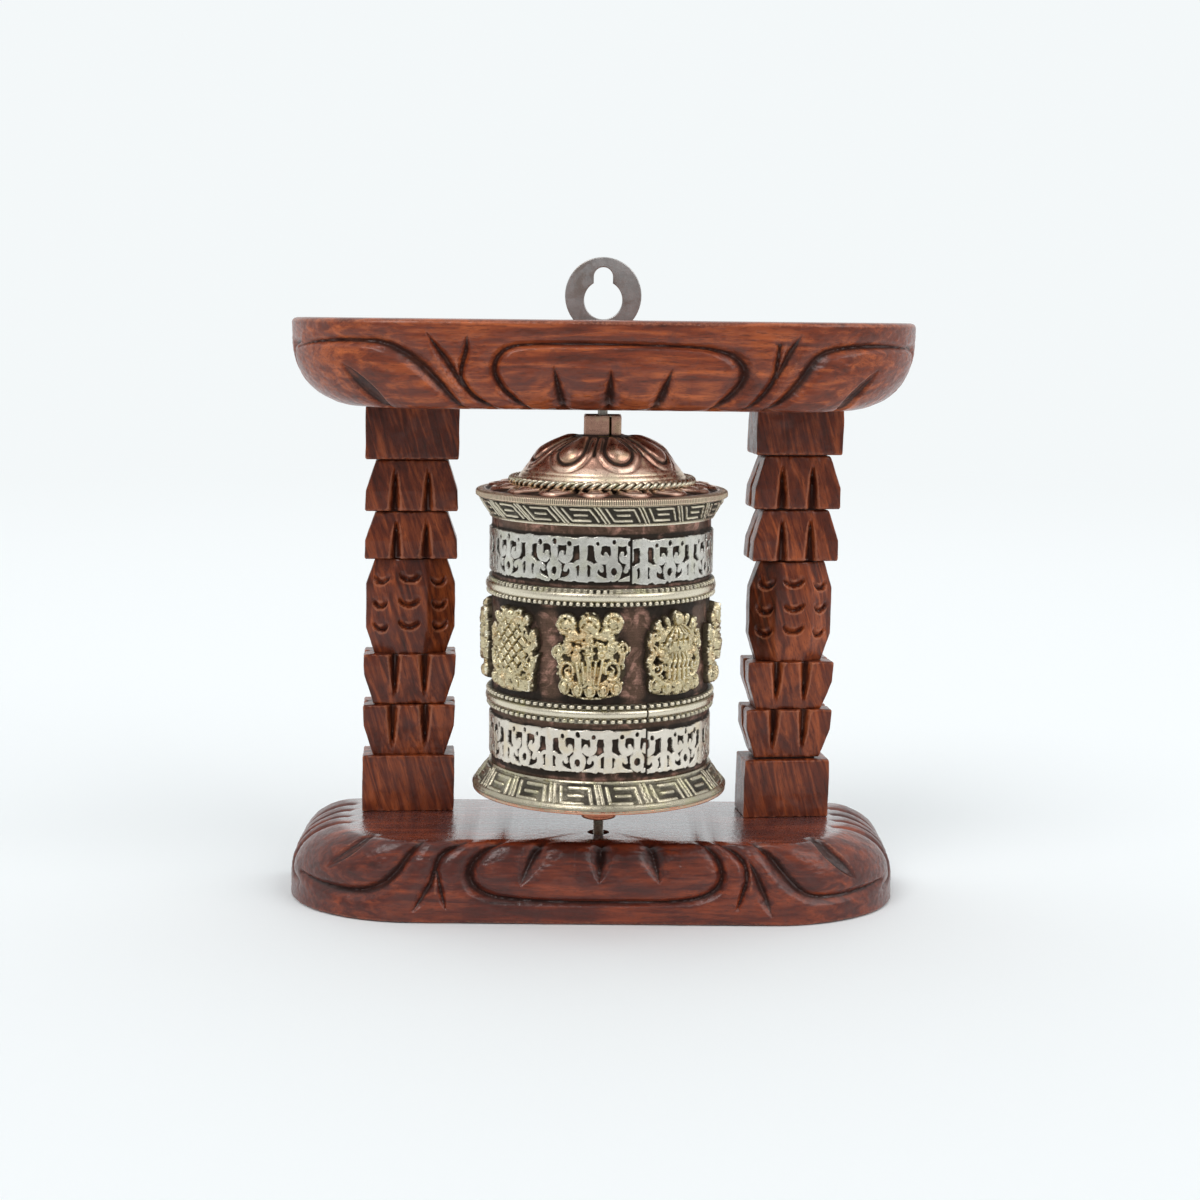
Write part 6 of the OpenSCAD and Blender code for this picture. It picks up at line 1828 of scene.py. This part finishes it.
def vase_plaque():
    r = Relief(107)
    r.throne()
    r.sides(-6.4, 4.4)
    for x, y, q in ((0, 0, 5.8), (0, 6.6, 4.0), (0, -5, 5.0)):
        r.disc(x, y, q)
    r.bump(0, -0.6, 4.6, 4.4, 2.2, 0, 1.2)
    r.tube([(-2.0, 3.4, 1.5), (0, 3.1, 1.9), (2.0, 3.4, 1.5)], 1.9, 1.2)
    r.tube([(-3.1, 5.0, 1.2), (0, 4.6, 1.6), (3.1, 5.0, 1.2)], 1.7, 1.3)
    for y, w in ((1.7, 3.7), (-1.9, 4.0)):
        r.cut([(-w, y, 0.45), (0, y - 0.6, 0.5), (w, y, 0.45)], 0.6)
    for x in np.linspace(-3, 3, 5):
        r.petal(x * 0.75, -4.3, 2.5, 1.4, -x * 7, 0.9, 2.2, vein=False)
        r.bump(x * 0.95, 0.1 - 0.03 * x * x, 0.62, 0.75, 0.6, 0, 2.9)
    r.petal(0, 5.2, 5.2, 2.2, 0, 1.6, 1.5)
    for k in (-1, 1):
        r.petal(k * 0.8, 5.2, 4.2, 1.7, -k * 30, 1.4, 1.3)
        r.petal(k * 1.6, 5.2, 4.0, 1.5, -k * 62, 1.2, 1.2)
        r.tube([(k * 3.0, 4.6, 0.8), (k * 5.6, 3.2, 1.1), (k * 5.9, 0.4, 1.0), (k * 4.6, -1.4, 0.8)], 1.2, 1.1)
        r.disc(k * 4.6, 6.6, 2.0)
        r.bump(k * 4.9, 7.2, 1.2, 1.4, 1.1, k * 20, 1.1)
    return r


def parasol_plaque():
    r = Relief(108)
    r.throne(6.9)
    r.sides(-6.4, 3.6)
    for x, y, q in ((0, 3.2, 7.6), (0, 8.2, 3.0), (0, -3.5, 6.6), (0, 0, 7.6)):
        r.disc(x, y, q)
    # finial, dome and its lobed edge
    r.bump(0, 8.8, 1.5, 2.0, 1.9, 0, 1.4)
    r.cut([(-0.6, 9.6, 0.35), (0, 9.1, 0.4), (0.6, 9.6, 0.35)], 0.4)
    r.bump(0, 3.6, 6.2, 3.9, 2.0, 0, 1.1)
    for x in (-4.6, -2.7, -0.9, 0.9, 2.7, 4.6):
        r.cut([(x * 0.25, 7.2, 0.35), (x * 0.8, 4.8, 0.7), (x * 1.05, 2.4, 0.6)], 1.1)
    r.cut([(-5.6, 3.0, 0.5), (-3, 3.5, 0.5), (0, 3.7, 0.5), (3, 3.5, 0.5), (5.6, 3.0, 0.5)], 0.8)
    for x in (-3.4, -1.7, 0, 1.7, 3.4):
        r.bump(x, 5.0 - 0.09 * x * x, 0.62, 0.8, 0.6, 0, 2.7)
    for k, x in enumerate(np.linspace(-5.4, 5.4, 6)):
        r.bump(x, 1.5 - 0.03 * x * x, 1.15, 1.25, 1.4, 0, 1.5)
    for x in (-4.3, 4.3):
        r.bump(x * 0.95, -0.9, 1.35, 1.6, 1.3, 0, 1.3)
        r.bump(x * 0.95, -0.8, 0.55, 0.65, 0.5, 0, 2.5)
    # hangings
    for x, y1, w in ((-2.9, -6.0, 0.9), (-1.5, -6.6, 0.9), (0, -6.8, 1.1), (1.5, -6.6, 0.9), (2.9, -6.0, 0.9)):
        r.tube([(x * 0.8, 0.2, w), (x * 1.05 + 0.3, -1.6, w * 1.4), (x * 1.05 - 0.25, -3.4, w * 0.9), (x * 1.1 + 0.15, -5.0, w * 1.4), (x * 1.1, y1, w)], 1.5, 1.2)
        for y in (-1.9, -4.0):
            r.bump(x * 1.05 + 0.1, y, 0.7, 0.55, 0.8, 0, 2.1)
    for k in (-1, 1):
        r.spiral(k * 7.0, 5.0, 1.9, 1.2, 1.0, 1.2, k, 90, 1.0)
        r.disc(k * 6.7, 5.0, 2.2)
        r.petal(k * 5.2, 6.4, 3.0, 1.7, -k * 38, 1.2, 1.0)
        r.petal(k * 2.8, 7.2, 2.4, 1.4, -k * 24, 1.1, 1.0)
    return r


for node, fn, ang in (("plaque_lotus", lotus_plaque, -5), ("plaque_parasol", parasol_plaque, 40), ("plaque_vase", vase_plaque, 85), ("plaque_conch", conch_plaque, 130), ("plaque_banner", banner_plaque, 175), ("plaque_wheel", wheel_plaque, -140), ("plaque_fish", fish_plaque, -95), ("plaque_knot", knot_plaque, -50)):
    fn().build(node + "_cast", node, ang, fn is not lotus_plaque, {"plaque_knot": 1.08, "plaque_parasol": 1.04}.get(node, 1.0))

# ------------------------------------------------------------------ the roll of paper inside, and its ties

geo = Geo()
th, Z = np.meshgrid(around(240), np.linspace(39.45, 111.35, 90), indexing="ij")
lap = (th / TAU) % 1.0
R = 19.6 + 0.28 * (1 - lap) + 0.10 * fbm(np.sin(th) * 3, np.cos(th) * 3, Z / 12, 3, 91)
for zt in (55.4, 95.4):
    R = R - 0.22 * np.exp(-((Z - zt) / 0.9) ** 2)
R = np.minimum(R, 19.95)
# Painted shade under the lap's edge; darker towards the lower end.
geo.grid(polar(th, R, Z), cu=True, cav=0.15 * np.exp(-(Z - 39.4) / 2) + 0.3 * np.exp(-((th - 0.02) / 0.02) ** 2))
rr = np.linspace(3.05, 1.0, 2)
rad = np.linspace(0, 1, 90)
for zc, sgn, fl in ((39.45, 1, True), (111.35, -1, False)):
    t2, q2 = np.meshgrid(around(240), rad, indexing="ij")
    jz = 0 if zc < 50 else -1
    Ro = R[:, jz][:, None] * (1 - q2) + 3.05 * q2
    lay = (Ro / 0.55 + t2 / TAU) % 1.0
    zz_ = zc + sgn * (0.28 * sm(0.25, 0.0, np.minimum(lay, 1 - lay)) + 0.2 * (1 + vnoise(Ro / 1.4, np.sin(t2) * 2, np.cos(t2) * 2, 5)) * 0.5) * (q2 > 0) * (q2 < 1)
    # Painted shade in the gaps between the layers.
    geo.grid(polar(t2, Ro, zz_), cu=True, flip=fl is False, cav=0.7 * sm(0.25, 0.0, np.minimum(lay, 1 - lay)))
geo.grid(polar(around(240)[:, None], 3.05, np.array([[39.45, 60.0, 90.0, 111.35]])), cu=True, flip=True, cav=0.6)
geo.make("paper_scroll_roll", "wheel", ["paper_scroll"], "paper", PAPER, 50)

geo = Geo()
for zt in (55.4, 95.4):
    for strand in (0, 1):
        for turn_ in (-1, 1):
            n_ = 720
            t = np.arange(n_) / n_ * TAU
            ph = t * 60 + strand * PI
            C = np.stack([(20.22 + 0.14 * np.cos(ph)) * np.sin(t), -(20.22 + 0.14 * np.cos(ph)) * np.cos(t), zt + turn_ * 0.31 + 0.14 * np.sin(ph)], -1)
            T = np.roll(C, -1, 0) - np.roll(C, 1, 0)
            T /= np.linalg.norm(T, axis=1, keepdims=True)
            radial = np.stack([np.sin(t), -np.cos(t), np.zeros_like(t)], -1)
            B1 = np.cross(T, radial)
            B1 /= np.linalg.norm(B1, axis=1, keepdims=True)
            B2 = np.cross(T, B1)
            al = np.arange(8) / 8 * TAU
            geo.grid(C[:, None] + 0.15 * (np.cos(al)[None, :, None] * B2[:, None] + np.sin(al)[None, :, None] * B1[:, None]), cu=True, cv=True)
geo.make("scroll_tie_threads", "wheel", ["scroll_ties"], "thread", THREAD, 80)

# ------------------------------------------------------------------ CAD nodes that stay, hidden inside the drum

def dress(node, mat):
    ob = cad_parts[node]
    ob.data.materials.clear()
    ob.data.materials.append(mat)


for node, mat in (("axle_tube", BRASS), ("bottom_bush", BRASS), ("top_bush", BRASS)):
    dress(node, mat)

# ------------------------------------------------------------------ floor, light, camera

def stage_piece(name, verts, faces, mat):
    me = bpy.data.meshes.new(name)
    me.from_pydata(verts, [], faces)
    me.materials.append(mat)
    me.polygons.foreach_set("use_smooth", [True] * len(faces))
    ob = bpy.data.objects.new(name, me)
    bpy.context.scene.collection.objects.link(ob)
    return ob


fm = Mat("floor_paper")
fm.set(Base_Color=(0.872, 0.892, 0.900, 1.0), Roughness=1.0, Specular_IOR_Level=0.0)
far = fm.t.nodes.new("ShaderNodeVectorMath")
far.operation = "LENGTH"
fm.t.links.new(fm.co, far.inputs[0])
glow = fm.t.nodes.new("ShaderNodeEmission")
unit_ = fm.t.nodes.new("ShaderNodeVectorMath")
unit_.operation = "NORMALIZE"
fm.t.links.new(fm.co, unit_.inputs[0])
part_ = fm.t.nodes.new("ShaderNodeSeparateXYZ")
fm.t.links.new(unit_.outputs[0], part_.inputs[0])
fm.put(glow.inputs["Color"], fm.mix(fm.span(part_.outputs[1], -0.75, 0.35), (0.42, 0.425, 0.43, 1), (0.905, 0.94, 0.95, 1)))
both = fm.t.nodes.new("ShaderNodeMixShader")
fm.put(both.inputs[0], fm.span(far.outputs["Value"], 0.25, 1.6))
fm.t.links.new(fm.b.outputs[0], both.inputs[1])
fm.t.links.new(glow.outputs[0], both.inputs[2])
fm.t.links.new(both.outputs[0], fm.out.inputs[0])
R = 12.0
ring_ = [(R * math.cos(a / 64 * TAU), R * math.sin(a / 64 * TAU), -0.00004) for a in range(64)]
stage_piece("floor", ring_, [tuple(range(64))], fm.m)

world = bpy.data.worlds.new("studio")
bpy.context.scene.world = world
world.use_nodes = True
wt = world.node_tree
wt.nodes.clear()
wo = wt.nodes.new("ShaderNodeOutputWorld")
bg = wt.nodes.new("ShaderNodeBackground")
tc = wt.nodes.new("ShaderNodeTexCoord")
sep = wt.nodes.new("ShaderNodeSeparateXYZ")
wt.links.new(tc.outputs["Generated"], sep.inputs[0])
mr = wt.nodes.new("ShaderNodeMapRange")
mr.interpolation_type = "SMOOTHSTEP"
wt.links.new(sep.outputs[1], mr.inputs["Value"])
mr.inputs["From Min"].default_value = -0.75
mr.inputs["From Max"].default_value = 0.35
mx = wt.nodes.new("ShaderNodeMix")
mx.data_type = "RGBA"
wt.links.new(mr.outputs[0], mx.inputs[0])
mx.inputs[6].default_value = (0.42, 0.425, 0.43, 1)
mx.inputs[7].default_value = (0.905, 0.94, 0.95, 1)
wt.links.new(mx.outputs[2], bg.inputs[0])
bg.inputs[1].default_value = 1.0
wt.links.new(bg.outputs[0], wo.inputs[0])


def sun(name, direction, strength, angle, color=(1, 1, 1)):
    d = bpy.data.lights.new(name, "SUN")
    d.energy = strength
    d.angle = math.radians(angle)
    d.color = color
    o = bpy.data.objects.new(name, d)
    o.rotation_mode = "QUATERNION"
    o.rotation_quaternion = Vector(direction).to_track_quat("-Z", "Y")
    bpy.context.scene.collection.objects.link(o)


sun("key", (0.5, 0.8, -1.0), 0.95, 30)
sun("fill", (-0.75, 0.6, -0.7), 0.8, 40)

cam = bpy.data.cameras.new("camera")
cam.sensor_fit = "HORIZONTAL"
cam.sensor_width = 36.0
cam.lens = 60.17
cam.clip_start = 0.02
cam.clip_end = 100.0
co_ = bpy.data.objects.new("camera", cam)
bpy.context.scene.collection.objects.link(co_)
yaw, pitch, roll = -0.0052, 0.14194, 0.0105
fwd = Vector((-math.sin(yaw) * math.cos(pitch), math.cos(yaw) * math.cos(pitch), -math.sin(pitch)))
rgt = Vector((math.cos(yaw), math.sin(yaw), 0))
upv = rgt.cross(fwd)
r2 = math.cos(roll) * rgt + math.sin(roll) * upv
u2 = -math.sin(roll) * rgt + math.cos(roll) * upv
m4 = Matrix((r2, u2, -fwd)).transposed().to_4x4()
m4.translation = Vector((-0.0030, -0.5387, 0.16364))
co_.matrix_world = m4
bpy.context.scene.camera = co_
bpy.context.scene.view_settings.view_transform = "Standard"
